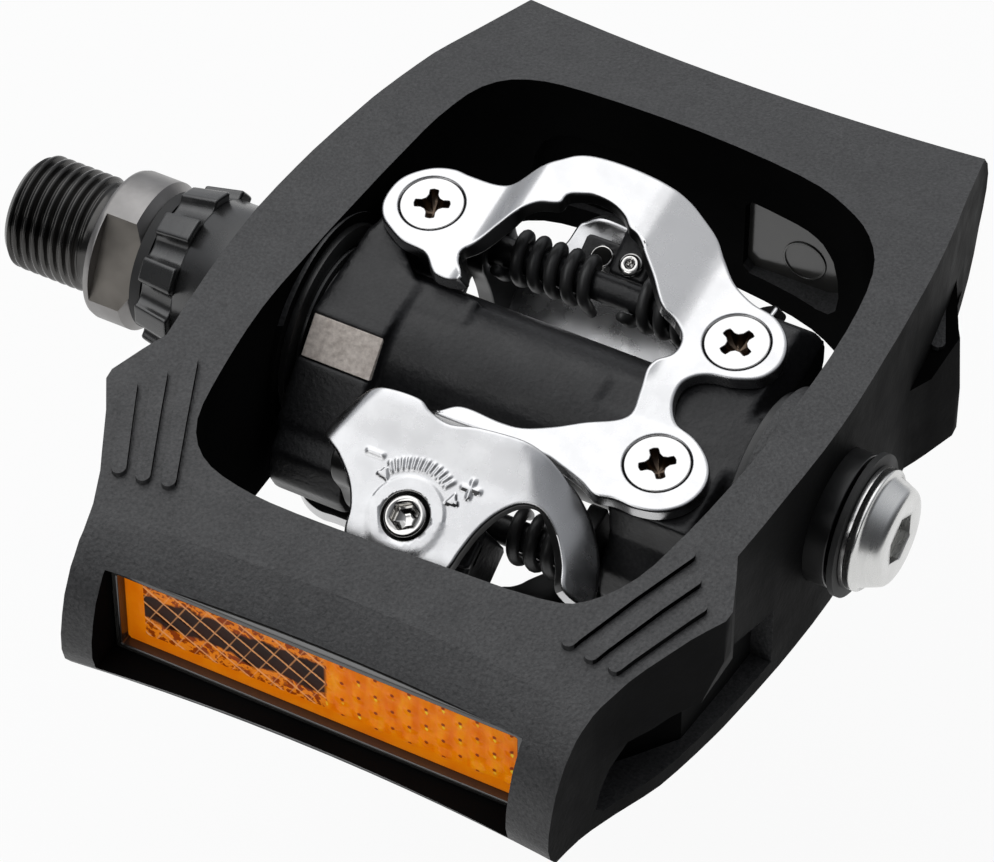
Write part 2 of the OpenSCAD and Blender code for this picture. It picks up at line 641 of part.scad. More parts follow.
// Right half of the plan, from the far end to the near end
flank = [[30.5, 54], [32.5, 44], [34.2, 36], [35.7, 26], [36.9, 13], [cage_half_w, 0], [36.9, -13],
    [35.7, -26], [34.2, -36], [32.3, -43], [31, -49], [30.6, -56]];
shoulder = [[30, -22], [35.8, -22], [37.4, -25.6], [39, -29.6], [38.9, -31], [36.6, -34.8], [33, -42],
    [31, -47.5], [28, -47.5]];

function mirrored(points) = [for (i = [len(points) - 1:-1:0]) [-points[i][0], points[i][1]]];

module plan_solid() {
    right = open_curve(flank, 3);
    linear_extrude(60, center = true) polygon(concat([[30.4, 60]], right, [[30.6, -60]],
        mirrored(concat([[30.4, 60]], right, [[30.6, -60]]))));
    both_sides() for (s = [0, 1]) mirror([s, 0, 0])
        intersection() {
            translate([0, 0, 0.6]) linear_extrude(20) polygon(shoulder);
            along_y([[25, 0.6], [37.4, 0.6], [39.2, 7], [39.2, 20], [25, 20]], -50, -20);
        }
}

// Tool of revolution that hollows one end in plan and rounds its profile
end_line = [[47, crown_z + 6], [47, crown_z - 5.2], [50, crown_z - 6.5], [52.3, crown_z - 8.6],
    [54, crown_z - 11.4], [54.8, 0.2], [55.4, -2.4], [55.5, -4.8], [55, -6.8], [53.8, -8.5],
    [53, -20]];
end_r = 30.5 * 30.5 / 2 / end_sag;
module end_tool() translate([0, end_sag - end_r - cage_half_l, 0])
    rotate_extrude($fn = 256) polygon(concat([[end_r - 30, 20]],
        [for (p = end_line) [end_r + cage_half_l - p[0], p[1]]], [[end_r - 30, -20]]));

opening = [[-28.6, -14], [-28.3, 0], [-27.8, 14], [-27.4, 25], [-26, 33], [-22, 37.4], [-15, 39],
    [0, 39.2], [14, 37.6], [21, 35], [26, 31.2], [29.4, 25], [31.2, 14], [31.6, 1], [31.2, -10],
    [29.7, -22], [27.7, -30], [24.2, -35], [19.4, -36.8], [6, -37.6], [-10, -38.1], [-18, -37.6],
    [-23.4, -35.8], [-26.6, -31.6], [-27.8, -24]];

pocket_side = [[-46.3, -7], [-45.6, -4.6], [-44.2, -2.2], [-41, 0.2], [-37, 1], [-30, 0.8],
    [-20, -1.4], [-14, -3], [-14, -11.4], [-20, -11.2], [-35, -9.8], [-45, -8.2]];
pocket_plan = [[34.2, -13], [33.6, -30], [28.6, -38], [27.6, -48], [50, -48], [50, -13]];
recess_side = [[34, -5.4], [46, -1.2], [48.6, -3.2], [47.6, -6], [40, -8], [34, -8.6]];

module flank_pockets() for (s = [0, 1]) mirror([s, 0, 0]) {
    intersection() {
        along_x(pocket_side, 20, 50);
        linear_extrude(40, center = true) polygon(pocket_plan);
    }
    along_x(recess_side, 32, 50);
}

// Hollows in the inner face of each end wall, in (x, z)
hollow_right = [[6.7, -6.8], [6.7, 2.8], [7.6, 3.7], [15.6, 3.7], [18, 3.2], [19.8, 1.8], [20.7, -0.5],
    [21, -3], [20.6, -5.4], [19.4, -7], [17.4, -7.7], [7.6, -7.7]];
hollow_y = 40;       // distance from the spindle axis to a hollow's floor
module wall_hollows() {
    along_y(hollow_right, 30, hollow_y);
    translate([-0.6, 0, 0]) along_y([for (i = [len(hollow_right) - 1:-1:0])
        [-hollow_right[i][0], hollow_right[i][1]]], 30, hollow_y);
}

rib_lines = [[[31.3, -25.2], [25, -40.5]], [[33.5, -28.1], [28, -41]], [[35.7, -31], [31, -41.2]]];

module ribs() intersection() {
    crown_slab(rib_h);
    linear_extrude(20) for (s = [0, 1]) mirror([s, 0]) for (l = rib_lines) {
        d = l[1] - l[0];
        translate(l[0]) rotate(atan2(d[1], d[0])) {
            translate([0, -rib_w / 2]) square([norm(d), rib_w]);
            circle(d = rib_w);
            translate([norm(d), 0]) circle(d = rib_w);
        }
    }
}

window_x = -26.9;
window_z = -7.1;
module window() {
    translate([window_x, -60, window_z]) cube([window_w, 60 - lens_y + 3.9, window_h]);
}

module cage_bosses() {
    translate([-pedal_x, 0, 0]) {
        intersection() {
            rod(2 * crown_z - 0.6, cage_left_x + 2, left_boss_x);
            translate([0, -far / 2, -crown_z]) cube([far, far, 2 * crown_z]);
        }
        rod(25, right_boss_x, pedal_x + cage_half_w - 2);
    }
}

module cage_bores() translate([-pedal_x, 0, 0]) {
    rod(left_bush_d + 2 * run, 0, left_boss_x - 5.6);
    rod(pop_coil_d + pop_wire_d + 1.1, left_boss_x - 5.7, left_boss_x + 1);
    rod(right_bush_d + 2 * run, right_boss_x - 2, far);
}

module cage() color("darkslategray") on_cage() difference() {
    union() {
        difference() {
            intersection() {
                plan_solid();
                crown_slab(0);
            }
            linear_extrude(60, center = true) polygon(closed_curve(opening, 3));
            flank_pockets();
        }
        cage_bosses();
        both_sides() ribs();
    }
    cage_bores();
    both_sides() {
        end_tool();
        window();
        wall_hollows();
    }
}

module left_bushing() color("black")
    turned([[cage_left_x - 0.6, sleeve_d / 2 + run], [cage_left_x - 0.6, left_bush_d / 2],
        [left_boss_x - 5.8, left_bush_d / 2], [left_boss_x - 5.8, sleeve_d / 2 + run]]);

module pop_up_spring() color("black")
    translate([left_boss_x - 4.9, 0, 0]) tube(pop_coil, pop_wire_d);

module spring_cover() color("black")
    turned([[left_boss_x, sleeve_d / 2 + gap], [left_boss_x, cover_d / 2],
        [left_boss_x + 0.8, cover_d / 2],
        [left_boss_x + 0.8, sleeve_d / 2 + gap]]);

bush_end_x = journal_end_x - 0.5;
module right_bushing() color("black")
    turned([[barrel_end_x + 0.2, journal_d / 2 + run], [barrel_end_x + 0.2, flange_d / 2],
        [right_boss_x, flange_d / 2], [right_boss_x, right_bush_d / 2], [bush_end_x, right_bush_d / 2],
        [bush_end_x, journal_d / 2 + run]]);

washer_x = journal_end_x + 0.1;
module seal_washer() color("black")
    turned([[washer_x, end_bolt_d / 2 + 0.2], [washer_x, right_bush_d / 2 + 0.6],
        [washer_x + 0.7, right_bush_d / 2 + 0.6],
        [washer_x + 0.7, end_bolt_d / 2 + 0.2]]);

module end_washer() color("silver")
    turned([[washer_x + 0.8, end_bolt_d / 2 + 0.2], [washer_x + 0.8, end_head_d / 2],
        [washer_x + 1.3, end_head_d / 2], [washer_x + 1.3, end_bolt_d / 2 + 0.2]]);

module end_bolt() color("lightgray") difference() {
    head_x = washer_x + 1.4;
    edge = 0.9;
    union() {
        turned([[head_x, 0], [head_x, end_head_d / 2], [head_x + 0.9, end_head_d / 2],
            [head_x + end_head_len - edge, end_face_d / 2 + edge * 0.9],
            [head_x + end_head_len - edge * 0.3, end_face_d / 2 + edge * 0.4],
            [head_x + end_head_len, end_face_d / 2 - edge * 0.4], [head_x + end_head_len, 0]]);
        rod(end_bolt_d, bore_end_x + 3.4, head_x + 0.5);
    }
    translate([head_x + 0.6, 0, 0]) rotate([0, 90, 0]) rotate([0, 0, 15])
        cylinder(d = end_hex / cos(30), h = 10, $fn = 6);
}

// ---- reflectors ----

module reflector_housing() on_cage() difference() {
    translate([window_x + 0.2, -lens_y - 0.8, window_z + 0.2])
        cube([window_w - 0.4, 4.5, window_h - 0.4]);
    translate([window_x + 1, -lens_y - 2, window_z + 1])
        cube([window_w - 2, lens_t + 2, window_h - 2]);
}

module reflector() on_cage()
    translate([window_x + 1.1, -lens_y - 0.1, window_z + 1.1])
        cube([window_w - 2.2, lens_t, window_h - 2.2]);

module near_reflector() color("orange") reflector();
module far_reflector() color("orange") other_side() reflector();
module near_reflector_housing() color("black") reflector_housing();
module far_reflector_housing() color("black") other_side() reflector_housing();

spindle();
dust_seal();
lock_sleeve();
bearing_sleeve();
inboard_balls();
outboard_balls();
bearing_cone();
lock_nut();
binding_body();
stop_pads();
top_front_claw();
bottom_front_claw();
top_plate_screws();
bottom_plate_screws();
top_rear_claw();
bottom_rear_claw();
top_pivot_pin();
bottom_pivot_pin();
top_claw_springs();
bottom_claw_springs();
top_tension_bolt();
bottom_tension_bolt();
top_tension_nut();
bottom_tension_nut();
cage();
left_bushing();
right_bushing();
pop_up_spring();
spring_cover();
seal_washer();
end_washer();
end_bolt();
near_reflector();
far_reflector();
near_reflector_housing();
far_reflector_housing();
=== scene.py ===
import json
import math

import bmesh
import bpy
import numpy as np
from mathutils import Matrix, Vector
from mathutils.geometry import delaunay_2d_cdt


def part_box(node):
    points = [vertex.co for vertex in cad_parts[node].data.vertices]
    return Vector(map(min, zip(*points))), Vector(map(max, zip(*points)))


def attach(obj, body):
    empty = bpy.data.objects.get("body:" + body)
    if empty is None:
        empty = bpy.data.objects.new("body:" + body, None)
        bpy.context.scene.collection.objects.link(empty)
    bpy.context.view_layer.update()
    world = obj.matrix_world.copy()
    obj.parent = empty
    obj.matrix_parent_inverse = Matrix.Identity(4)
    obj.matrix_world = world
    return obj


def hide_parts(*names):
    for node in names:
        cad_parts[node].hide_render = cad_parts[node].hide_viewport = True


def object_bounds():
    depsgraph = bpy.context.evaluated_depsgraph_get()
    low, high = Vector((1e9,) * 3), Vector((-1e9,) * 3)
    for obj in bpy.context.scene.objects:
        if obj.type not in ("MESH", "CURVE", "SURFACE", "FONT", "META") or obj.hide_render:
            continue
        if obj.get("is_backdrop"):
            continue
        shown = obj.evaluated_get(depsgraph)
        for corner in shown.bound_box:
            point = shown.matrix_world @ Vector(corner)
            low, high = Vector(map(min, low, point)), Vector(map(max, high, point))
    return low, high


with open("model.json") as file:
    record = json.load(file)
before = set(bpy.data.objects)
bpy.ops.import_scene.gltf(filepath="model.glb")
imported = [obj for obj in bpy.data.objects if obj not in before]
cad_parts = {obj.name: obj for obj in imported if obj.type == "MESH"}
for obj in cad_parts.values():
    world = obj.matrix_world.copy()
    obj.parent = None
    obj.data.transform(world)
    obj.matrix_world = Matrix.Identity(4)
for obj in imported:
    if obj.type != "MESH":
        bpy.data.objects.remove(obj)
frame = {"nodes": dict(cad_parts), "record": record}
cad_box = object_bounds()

MM = 0.001
PEDAL_X = 57.0                      # middle of the cage on the spindle, mm
TILT = math.radians(11)             # how far the binding stands front end up


# ---- materials ----

def shader(name):
    m = bpy.data.materials.new(name)
    m.use_nodes = True
    t = m.node_tree
    return m, t, t.nodes["Principled BSDF"]


def link(t, a, b):
    t.links.new(a, b)


def coords(t, scale):
    c = t.nodes.new("ShaderNodeTexCoord")
    s = t.nodes.new("ShaderNodeMapping")
    s.inputs["Scale"].default_value = scale if hasattr(scale, "__len__") else (scale,) * 3
    link(t, c.outputs["Object"], s.inputs["Vector"])
    return s.outputs["Vector"]


def noise(t, per_mm, detail=3.0, stretch=(1, 1, 1), rough=0.55):
    n = t.nodes.new("ShaderNodeTexNoise")
    n.inputs["Scale"].default_value = 1.0
    n.inputs["Detail"].default_value = detail
    n.inputs["Roughness"].default_value = rough
    k = per_mm / MM
    link(t, coords(t, tuple(k * s for s in stretch)), n.inputs["Vector"])
    return n.outputs["Fac"]


def ramp(t, fac, stops):
    r = t.nodes.new("ShaderNodeValToRGB")
    e = r.color_ramp.elements
    while len(e) < len(stops):
        e.new(0.5)
    for el, (pos, col) in zip(e, stops):
        el.position = pos
        el.color = (*col, 1) if hasattr(col, "__len__") else (col, col, col, 1)
    link(t, fac, r.inputs["Fac"])
    return r.outputs["Color"]


def spread(t, fac, low, high):
    r = t.nodes.new("ShaderNodeMapRange")
    r.inputs["From Min"].default_value = 0.3
    r.inputs["From Max"].default_value = 0.7
    r.inputs["To Min"].default_value = low
    r.inputs["To Max"].default_value = high
    link(t, fac, r.inputs["Value"])
    return r.outputs["Result"]


def bump(t, fac, depth_mm):
    b = t.nodes.new("ShaderNodeBump")
    b.inputs["Strength"].default_value = 1.0
    b.inputs["Distance"].default_value = depth_mm * MM
    link(t, fac, b.inputs["Height"])
    return b.outputs["Normal"]


def moulded(name, low, high, rough, grain=1.6, depth=0.02, gloss=0.5, colour_grain=0.05):
    m, t, p = shader(name)
    link(t, ramp(t, noise(t, colour_grain, 4), [(0.3, low), (0.7, high)]), p.inputs["Base Color"])
    link(t, spread(t, noise(t, 0.25, 4), rough - 0.05, rough + 0.06), p.inputs["Roughness"])
    p.inputs["Specular IOR Level"].default_value = gloss
    link(t, bump(t, noise(t, grain, 2), depth), p.inputs["Normal"])
    return m


def metal(name, low, high, rough, lay=(1, 1, 1), grain=1.2, depth=0.004, spread_by=0.06):
    m, t, p = shader(name)
    p.inputs["Metallic"].default_value = 1.0
    link(t, ramp(t, noise(t, 0.08, 5), [(0.3, low), (0.7, high)]), p.inputs["Base Color"])
    link(t, spread(t, noise(t, 0.3, 4, lay), rough - spread_by, rough + spread_by),
         p.inputs["Roughness"])
    link(t, bump(t, noise(t, grain, 3, lay), depth), p.inputs["Normal"])
    return m


def math_node(t, op, a, b=None, c=None):
    n = t.nodes.new("ShaderNodeMath")
    n.operation = op
    for i, v in enumerate((a, b, c)):
        if v is None:
            continue
        if hasattr(v, "is_linked") or hasattr(v, "node"):
            link(t, v, n.inputs[i])
        else:
            n.inputs[i].default_value = v
    return n.outputs[0]


def blend_colour(t, fac, a, b):
    n = t.nodes.new("ShaderNodeMix")
    n.data_type = "RGBA"
    link(t, fac, n.inputs["Factor"])
    for socket, v in ((n.inputs[6], a), (n.inputs[7], b)):
        if hasattr(v, "node"):
            link(t, v, socket)
        else:
            socket.default_value = (*v, 1)
    return n.outputs[2]


def window_of(t, v, low, high, soft):
    """1 between low and high, falling to 0 over soft on either side."""
    up = t.nodes.new("ShaderNodeMapRange")
    up.interpolation_type = "SMOOTHSTEP"
    up.inputs["From Min"].default_value = low - soft
    up.inputs["From Max"].default_value = low
    link(t, v, up.inputs["Value"])
    down = t.nodes.new("ShaderNodeMapRange")
    down.interpolation_type = "SMOOTHSTEP"
    down.inputs["From Min"].default_value = high
    down.inputs["From Max"].default_value = high + soft
    down.inputs["To Min"].default_value = 1.0
    down.inputs["To Max"].default_value = 0.0
    link(t, v, down.inputs["Value"])
    return math_node(t, "MULTIPLY", up.outputs[0], down.outputs[0])


def off_line(t, u, size):
    """Distance in mm from the nearest of a family of lines size mm apart."""
    f = math_node(t, "FRACT", math_node(t, "DIVIDE", u, size))
    g = math_node(t, "SUBTRACT", 0.5, math_node(t, "ABSOLUTE", math_node(t, "SUBTRACT", f, 0.5)))
    return math_node(t, "MULTIPLY", g, size)


CELL, PRISM_ROW = 2.1, 2.62         # the lens's square cells and its rows of prisms, mm
LATTICE_TURN = math.radians(-30)


def amber_lens():
    """Left: dark square cells behind bright moulded lines, with painted glints above and below. Right:
    bright rows of prisms with painted glints. A painted glow over all.
    """
    m, t, p = shader("amber lens with painted glow")
    c = t.nodes.new("ShaderNodeTexCoord")
    xyz = t.nodes.new("ShaderNodeSeparateXYZ")
    link(t, c.outputs["Object"], xyz.inputs[0])
    x = math_node(t, "SUBTRACT", math_node(t, "MULTIPLY", xyz.outputs[0], 1000.0), PEDAL_X)
    z = math_node(t, "MULTIPLY", xyz.outputs[2], 1000.0)
    z = math_node(t, "MULTIPLY", z, math_node(t, "SIGN", math_node(
        t, "MULTIPLY", xyz.outputs[1], -1.0)))
    warp = math_node(t, "MULTIPLY", math_node(t, "SUBTRACT", noise(t, 0.5, 2), 0.5), 0.12)
    cos, sin = math.cos(LATTICE_TURN), math.sin(LATTICE_TURN)
    u = math_node(t, "ADD", math_node(t, "MULTIPLY", x, cos), math_node(t, "MULTIPLY", z, sin))
    v = math_node(t, "ADD", math_node(t, "MULTIPLY", x, -sin), math_node(t, "MULTIPLY", z, cos))
    bright = ramp(t, math_node(t, "ADD", off_line(t, v, CELL), warp), [(0.07, 1.0), (0.17, 0.0)])
    faint = ramp(t, math_node(t, "ADD", off_line(t, u, CELL), warp), [(0.03, 0.55), (0.11, 0.0)])
    lines = math_node(t, "MAXIMUM", bright, faint)
    # Painted glints in bands above and below the middle: bright orange curls, with the cells there
    # painted lighter
    swirl = noise(t, 0.62, 3, (1, 1, 1.2))
    swirl = math_node(t, "ABSOLUTE", math_node(t, "SUBTRACT", swirl, 0.5))
    painted_glints = ramp(t, swirl, [(0.02, 1.0), (0.06, 0.5), (0.09, 0.0)])
    reach = math_node(t, "MULTIPLY", math_node(t, "SUBTRACT", noise(t, 0.16, 2), 0.5), 4.0)
    zw = math_node(t, "ADD", z, reach)
    glint_bands = math_node(t, "SUBTRACT", 1.0, window_of(t, zw, -1.2, 2.2, 0.5))
    painted_glints = math_node(t, "MULTIPLY", painted_glints, glint_bands)
    cell = ramp(t, noise(t, 0.3, 2), [(0.3, (0.014, 0.004, 0.0015)), (0.7, (0.034, 0.008, 0.002))])
    glint_lit_cells = blend_colour(t, math_node(t, "MULTIPLY", glint_bands, 0.6), cell, (0.50, 0.075, 0.004))
    left = blend_colour(t, painted_glints, glint_lit_cells, (0.95, 0.26, 0.012))
    left = blend_colour(t, math_node(t, "MULTIPLY", lines, 0.8), left, (0.95, 0.42, 0.16))
    tone = ramp(t, noise(t, 0.45, 3, (1.5, 1, 0.4)),
                [(0.35, (0.86, 0.17, 0.001)), (0.52, (0.97, 0.24, 0.002)),
                 (0.70, (1.0, 0.33, 0.004))])
    column = math_node(t, "ROUND", math_node(t, "DIVIDE", x, CELL))
    shift = math_node(t, "FRACT", math_node(t, "MULTIPLY", column, 0.5))
    row = math_node(t, "ADD", z, math_node(t, "MULTIPLY", shift, PRISM_ROW))
    dx = off_line(t, x, CELL)
    dots = math_node(t, "SQRT", math_node(
        t, "ADD", math_node(t, "MULTIPLY", dx, dx),
        math_node(t, "POWER", off_line(t, row, PRISM_ROW), 2.0)))
    # Painted glints: small yellow highlights just above some of the prism dots
    painted_glint_reach = math_node(t, "ADD", math_node(t, "MULTIPLY", dx, 2.2),
                   off_line(t, math_node(t, "ADD", row, 0.55), PRISM_ROW))
    painted_glint_share = ramp(t, noise(t, 0.25, 1), [(0.42, 0.0), (0.55, 1.0)])
    right = blend_colour(t, math_node(t, "MULTIPLY", ramp(t, painted_glint_reach, [(0.35, 1.0), (0.6, 0.0)]), painted_glint_share),
                         tone, (1.0, 0.66, 0.05))
    right = blend_colour(t, ramp(t, dots, [(0.16, 0.9), (0.32, 0.0)]), right, (0.22, 0.015, 0.001))
    side = ramp(t, math_node(t, "ADD", x, 0.3), [(0.0, 0.0), (0.5, 1.0)])
    body = blend_colour(t, side, left, right)
    inner = math_node(t, "MULTIPLY", window_of(t, x, -23.1, 23.2, 0.12),
                      window_of(t, z, -3.95, 20.0, 0.12))
    border = ramp(t, noise(t, 0.3, 2), [(0.3, (0.86, 0.19, 0.002)), (0.7, (0.98, 0.27, 0.004))])
    lens_colour = blend_colour(t, inner, border, body)
    link(t, lens_colour, p.inputs["Base Color"])
    # A little glow stands for the light that a reflector's prisms send back
    link(t, lens_colour, p.inputs["Emission Color"])
    p.inputs["Emission Strength"].default_value = 0.28
    link(t, spread(t, noise(t, 0.3, 3), 0.12, 0.22), p.inputs["Roughness"])
    p.inputs["Specular IOR Level"].default_value = 0.08
    link(t, bump(t, noise(t, 0.9, 3), 0.03), p.inputs["Normal"])
    return m


CAGE = moulded("cage resin", (0.022, 0.022, 0.023), (0.062, 0.062, 0.063), 0.48, 2.4, 0.10,
               gloss=0.45, colour_grain=2.6)
BLACK = moulded("black resin", (0.010, 0.010, 0.010), (0.016, 0.016, 0.016), 0.32, 0.8, 0.01)
ENAMEL = moulded("black enamel", (0.008, 0.008, 0.009), (0.020, 0.020, 0.021), 0.36, 1.6, 0.05,
                 gloss=0.34, colour_grain=2.2)
RUBBER = moulded("seal rubber", (0.012, 0.012, 0.012), (0.02, 0.02, 0.02), 0.62, 1.5, 0.02)
PAD = moulded("stop pad", (0.52, 0.45, 0.40), (0.86, 0.78, 0.71), 0.55, 1.6, 0.05, colour_grain=1.4)
PLATE = metal("satin nickel plate", (0.52, 0.52, 0.525), (0.58, 0.58, 0.585), 0.27)
BRIGHT = metal("bright plate", (0.56, 0.555, 0.55), (0.62, 0.615, 0.61), 0.18)
GROUND = metal("ground steel", (0.5, 0.5, 0.5), (0.62, 0.62, 0.62), 0.22)
OXIDE = metal("dark oxide", (0.17, 0.165, 0.16), (0.34, 0.33, 0.325), 0.40, grain=1.2, depth=0.012)
SPRING = moulded("spring black", (0.022, 0.022, 0.022), (0.034, 0.034, 0.034), 0.42, 1.0, 0.01)
AMBER = amber_lens()
SCREW = metal("screw plate", (0.54, 0.535, 0.53), (0.60, 0.595, 0.59), 0.24)
CHROME = metal("chrome", (0.58, 0.57, 0.55), (0.66, 0.65, 0.63), 0.12)
BARE = metal("bare flat", (0.22, 0.205, 0.185), (0.40, 0.37, 0.335), 0.40, grain=0.9, depth=0.02)
# Painted shade: a dark brown copy of the screw metal for the cross recesses
RECESS_PAINTED_SHADE = metal("screw recess with painted shade", (0.030, 0.020, 0.014), (0.16, 0.12, 0.09), 0.30)
GLOSS = moulded("polished resin", (0.030, 0.029, 0.027), (0.045, 0.044, 0.041), 0.16, 0.25, 0.01,
                gloss=0.9)
# Painted shade: near-black resin for faces deep in the cage's openings, windows and pockets
PAINTED_SHADE_RESIN = moulded("resin with painted shade", (0.004, 0.004, 0.004), (0.007, 0.007, 0.007), 0.4, 0.5, 0.02,
               gloss=0.0)
# Painted shade: a darker copy of the cage resin for its outward flanks
FLANK_PAINTED_SHADE = moulded("flank resin with painted shade", (0.010, 0.010, 0.010), (0.016, 0.016, 0.016), 0.5, 1.3, 0.04,
                gloss=0.01)
# Painted shade: a dark copy of the plate for the claws' under sides and inner rims
PLATE_PAINTED_SHADE = metal("plate with painted shade", (0.05, 0.05, 0.05), (0.10, 0.10, 0.10), 0.38)
SLEEVE = moulded("sleeve enamel", (0.014, 0.014, 0.014), (0.022, 0.022, 0.022), 0.27, 0.8, 0.012,
                 gloss=0.9)
THREAD = metal("thread", (0.035, 0.034, 0.033), (0.10, 0.098, 0.095), 0.25)

BY_SLOT = {"axle_steel": OXIDE, "seal_rubber": RUBBER, "black_resin": BLACK,
           "bearing_steel": GROUND, "black_enamel": ENAMEL, "pad_resin": PAD,
           "plated_steel": PLATE, "bright_steel": BRIGHT, "spring_steel": SPRING,
           "cage_resin": CAGE, "amber_lens": AMBER}
SLOT = {s["node"]: s["material_slot"] for s in frame["record"]["subparts"]}
BODY = {n: b for b, ns in frame["record"]["behaviour"]["bodies"].items() for n in ns}


# ---- pieces ----

SHARP = math.radians(32)            # an edge that turns by more than this is broken


def place(obj, body, slot, replaces=()):
    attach(obj, body)
    if replaces:
        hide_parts(*replaces)
    return obj


def new_object(name, mesh, mat):
    o = bpy.data.objects.new(name, mesh)
    bpy.context.scene.collection.objects.link(o)
    mesh.materials.clear()
    mesh.materials.append(mat)
    return o


def dressed(node, mat, edge, steps=2, trim=None):
    """The node's own shape with its edges broken, as a moulding's or a stamping's are."""
    mesh = frame["nodes"][node].data.copy()
    bm = bmesh.new()
    bm.from_mesh(mesh)
    bmesh.ops.remove_doubles(bm, verts=bm.verts, dist=2e-6)
    bmesh.ops.dissolve_limit(bm, angle_limit=math.radians(1.0), verts=bm.verts, edges=bm.edges)
    bm.to_mesh(mesh)
    bm.free()
    if trim:
        trim(mesh)
    o = new_object(node + "_dressed", mesh, mat)
    b = o.modifiers.new("edges", "BEVEL")
    b.width = edge * MM
    b.segments = steps
    b.limit_method = "ANGLE"
    b.angle_limit = SHARP
    b.miter_outer = "MITER_ARC"
    b.harden_normals = False
    for f in mesh.polygons:
        f.use_smooth = True
    n = o.modifiers.new("normals", "WEIGHTED_NORMAL")
    n.keep_sharp = True
    place(o, BODY[node], SLOT[node], [node])
    return o


for node, obj in frame["nodes"].items():
    obj.data.materials.clear()
    obj.data.materials.append(BY_SLOT[SLOT[node]])

# ---- mesh building, in millimetres ----

def to_world(points):
    """Points of the flat-drawn binding, tilted into place. Column 0 is x from the middle."""
    p = np.asarray(points, float)
    c, s = math.cos(TILT), math.sin(TILT)
    return np.stack([p[:, 0] + PEDAL_X, p[:, 1] * c - p[:, 2] * s, p[:, 1] * s + p[:, 2] * c], 1)


def half_turn(points):
    return np.asarray(points) * (1, -1, -1)


def curve(points, step, closed=True):
    """A smooth line through the points, sampled every step mm."""
    p = np.array(points, float)
    n = len(p)
    out = []
    for i in range(n if closed else n - 1):
        ids = [(i + j) % n if closed else min(max(i + j, 0), n - 1) for j in (-1, 0, 1, 2)]
        a, b, c, d = p[ids]
        t0 = 0.0
        t1 = t0 + max(np.linalg.norm(b - a), 1e-3) ** 0.5
        t2 = t1 + max(np.linalg.norm(c - b), 1e-3) ** 0.5
        t3 = t2 + max(np.linalg.norm(d - c), 1e-3) ** 0.5
        for t in np.linspace(t1, t2, 12, endpoint=False):
            ab = a * (t1 - t) / (t1 - t0) + b * (t - t0) / (t1 - t0)
            bc = b * (t2 - t) / (t2 - t1) + c * (t - t1) / (t2 - t1)
            cd = c * (t3 - t) / (t3 - t2) + d * (t - t2) / (t3 - t2)
            abc = ab * (t2 - t) / (t2 - t0) + bc * (t - t0) / (t2 - t0)
            bcd = bc * (t3 - t) / (t3 - t1) + cd * (t - t1) / (t3 - t1)
            out.append(abc * (t2 - t) / (t2 - t1) + bcd * (t - t1) / (t2 - t1))
    if not closed:
        out.append(p[-1])
    return resample(np.array(out), step, closed)


def resample(line, step, closed=True):
    ends = np.vstack([line, line[:1]]) if closed else line
    run = np.concatenate([[0], np.cumsum(np.linalg.norm(np.diff(ends, axis=0), axis=1))])
    count = max(int(round(run[-1] / step)), 8)
    at = np.linspace(0, run[-1], count, endpoint=not closed)
    return np.stack([np.interp(at, run, ends[:, k]) for k in range(ends.shape[1])], 1)


def left_handed(loop, hole=False):
    """The loop running so that the material lies on its left."""
    x, y = loop[:, 0], loop[:, 1]
    area = np.sum(x * np.roll(y, -1) - np.roll(x, -1) * y)
    return loop if (area > 0) != hole else loop[::-1]


def to_left(loop):
    t = np.roll(loop, -1, 0) - np.roll(loop, 1, 0)
    t /= np.maximum(np.linalg.norm(t, axis=1, keepdims=True), 1e-9)
    return np.stack([-t[:, 1], t[:, 0]], 1)


def circle(x, y, r, count, squash=1.0, turn=0.0):
    a = np.linspace(0, 2 * math.pi, count, endpoint=False) + turn
    return np.stack([x + r * np.cos(a), y + r * squash * np.sin(a)], 1)


def within(points, loop):
    x, y = points[:, :1], points[:, 1:2]
    a, b = loop, np.roll(loop, -1, 0)
    side = (a[:, 1] > y) != (b[:, 1] > y)
    with np.errstate(divide="ignore", invalid="ignore"):
        cut = (b[:, 0] - a[:, 0]) * (y - a[:, 1]) / (b[:, 1] - a[:, 1]) + a[:, 0]
    return (side & (x < cut)).sum(1) % 2 == 1


def lattice(lo, hi, step):
    ys = np.arange(lo[1], hi[1], step * 0.87)
    xs = np.arange(lo[0], hi[0], step)
    return np.array([(x + (step / 2 if j % 2 else 0), y) for j, y in enumerate(ys) for x in xs])


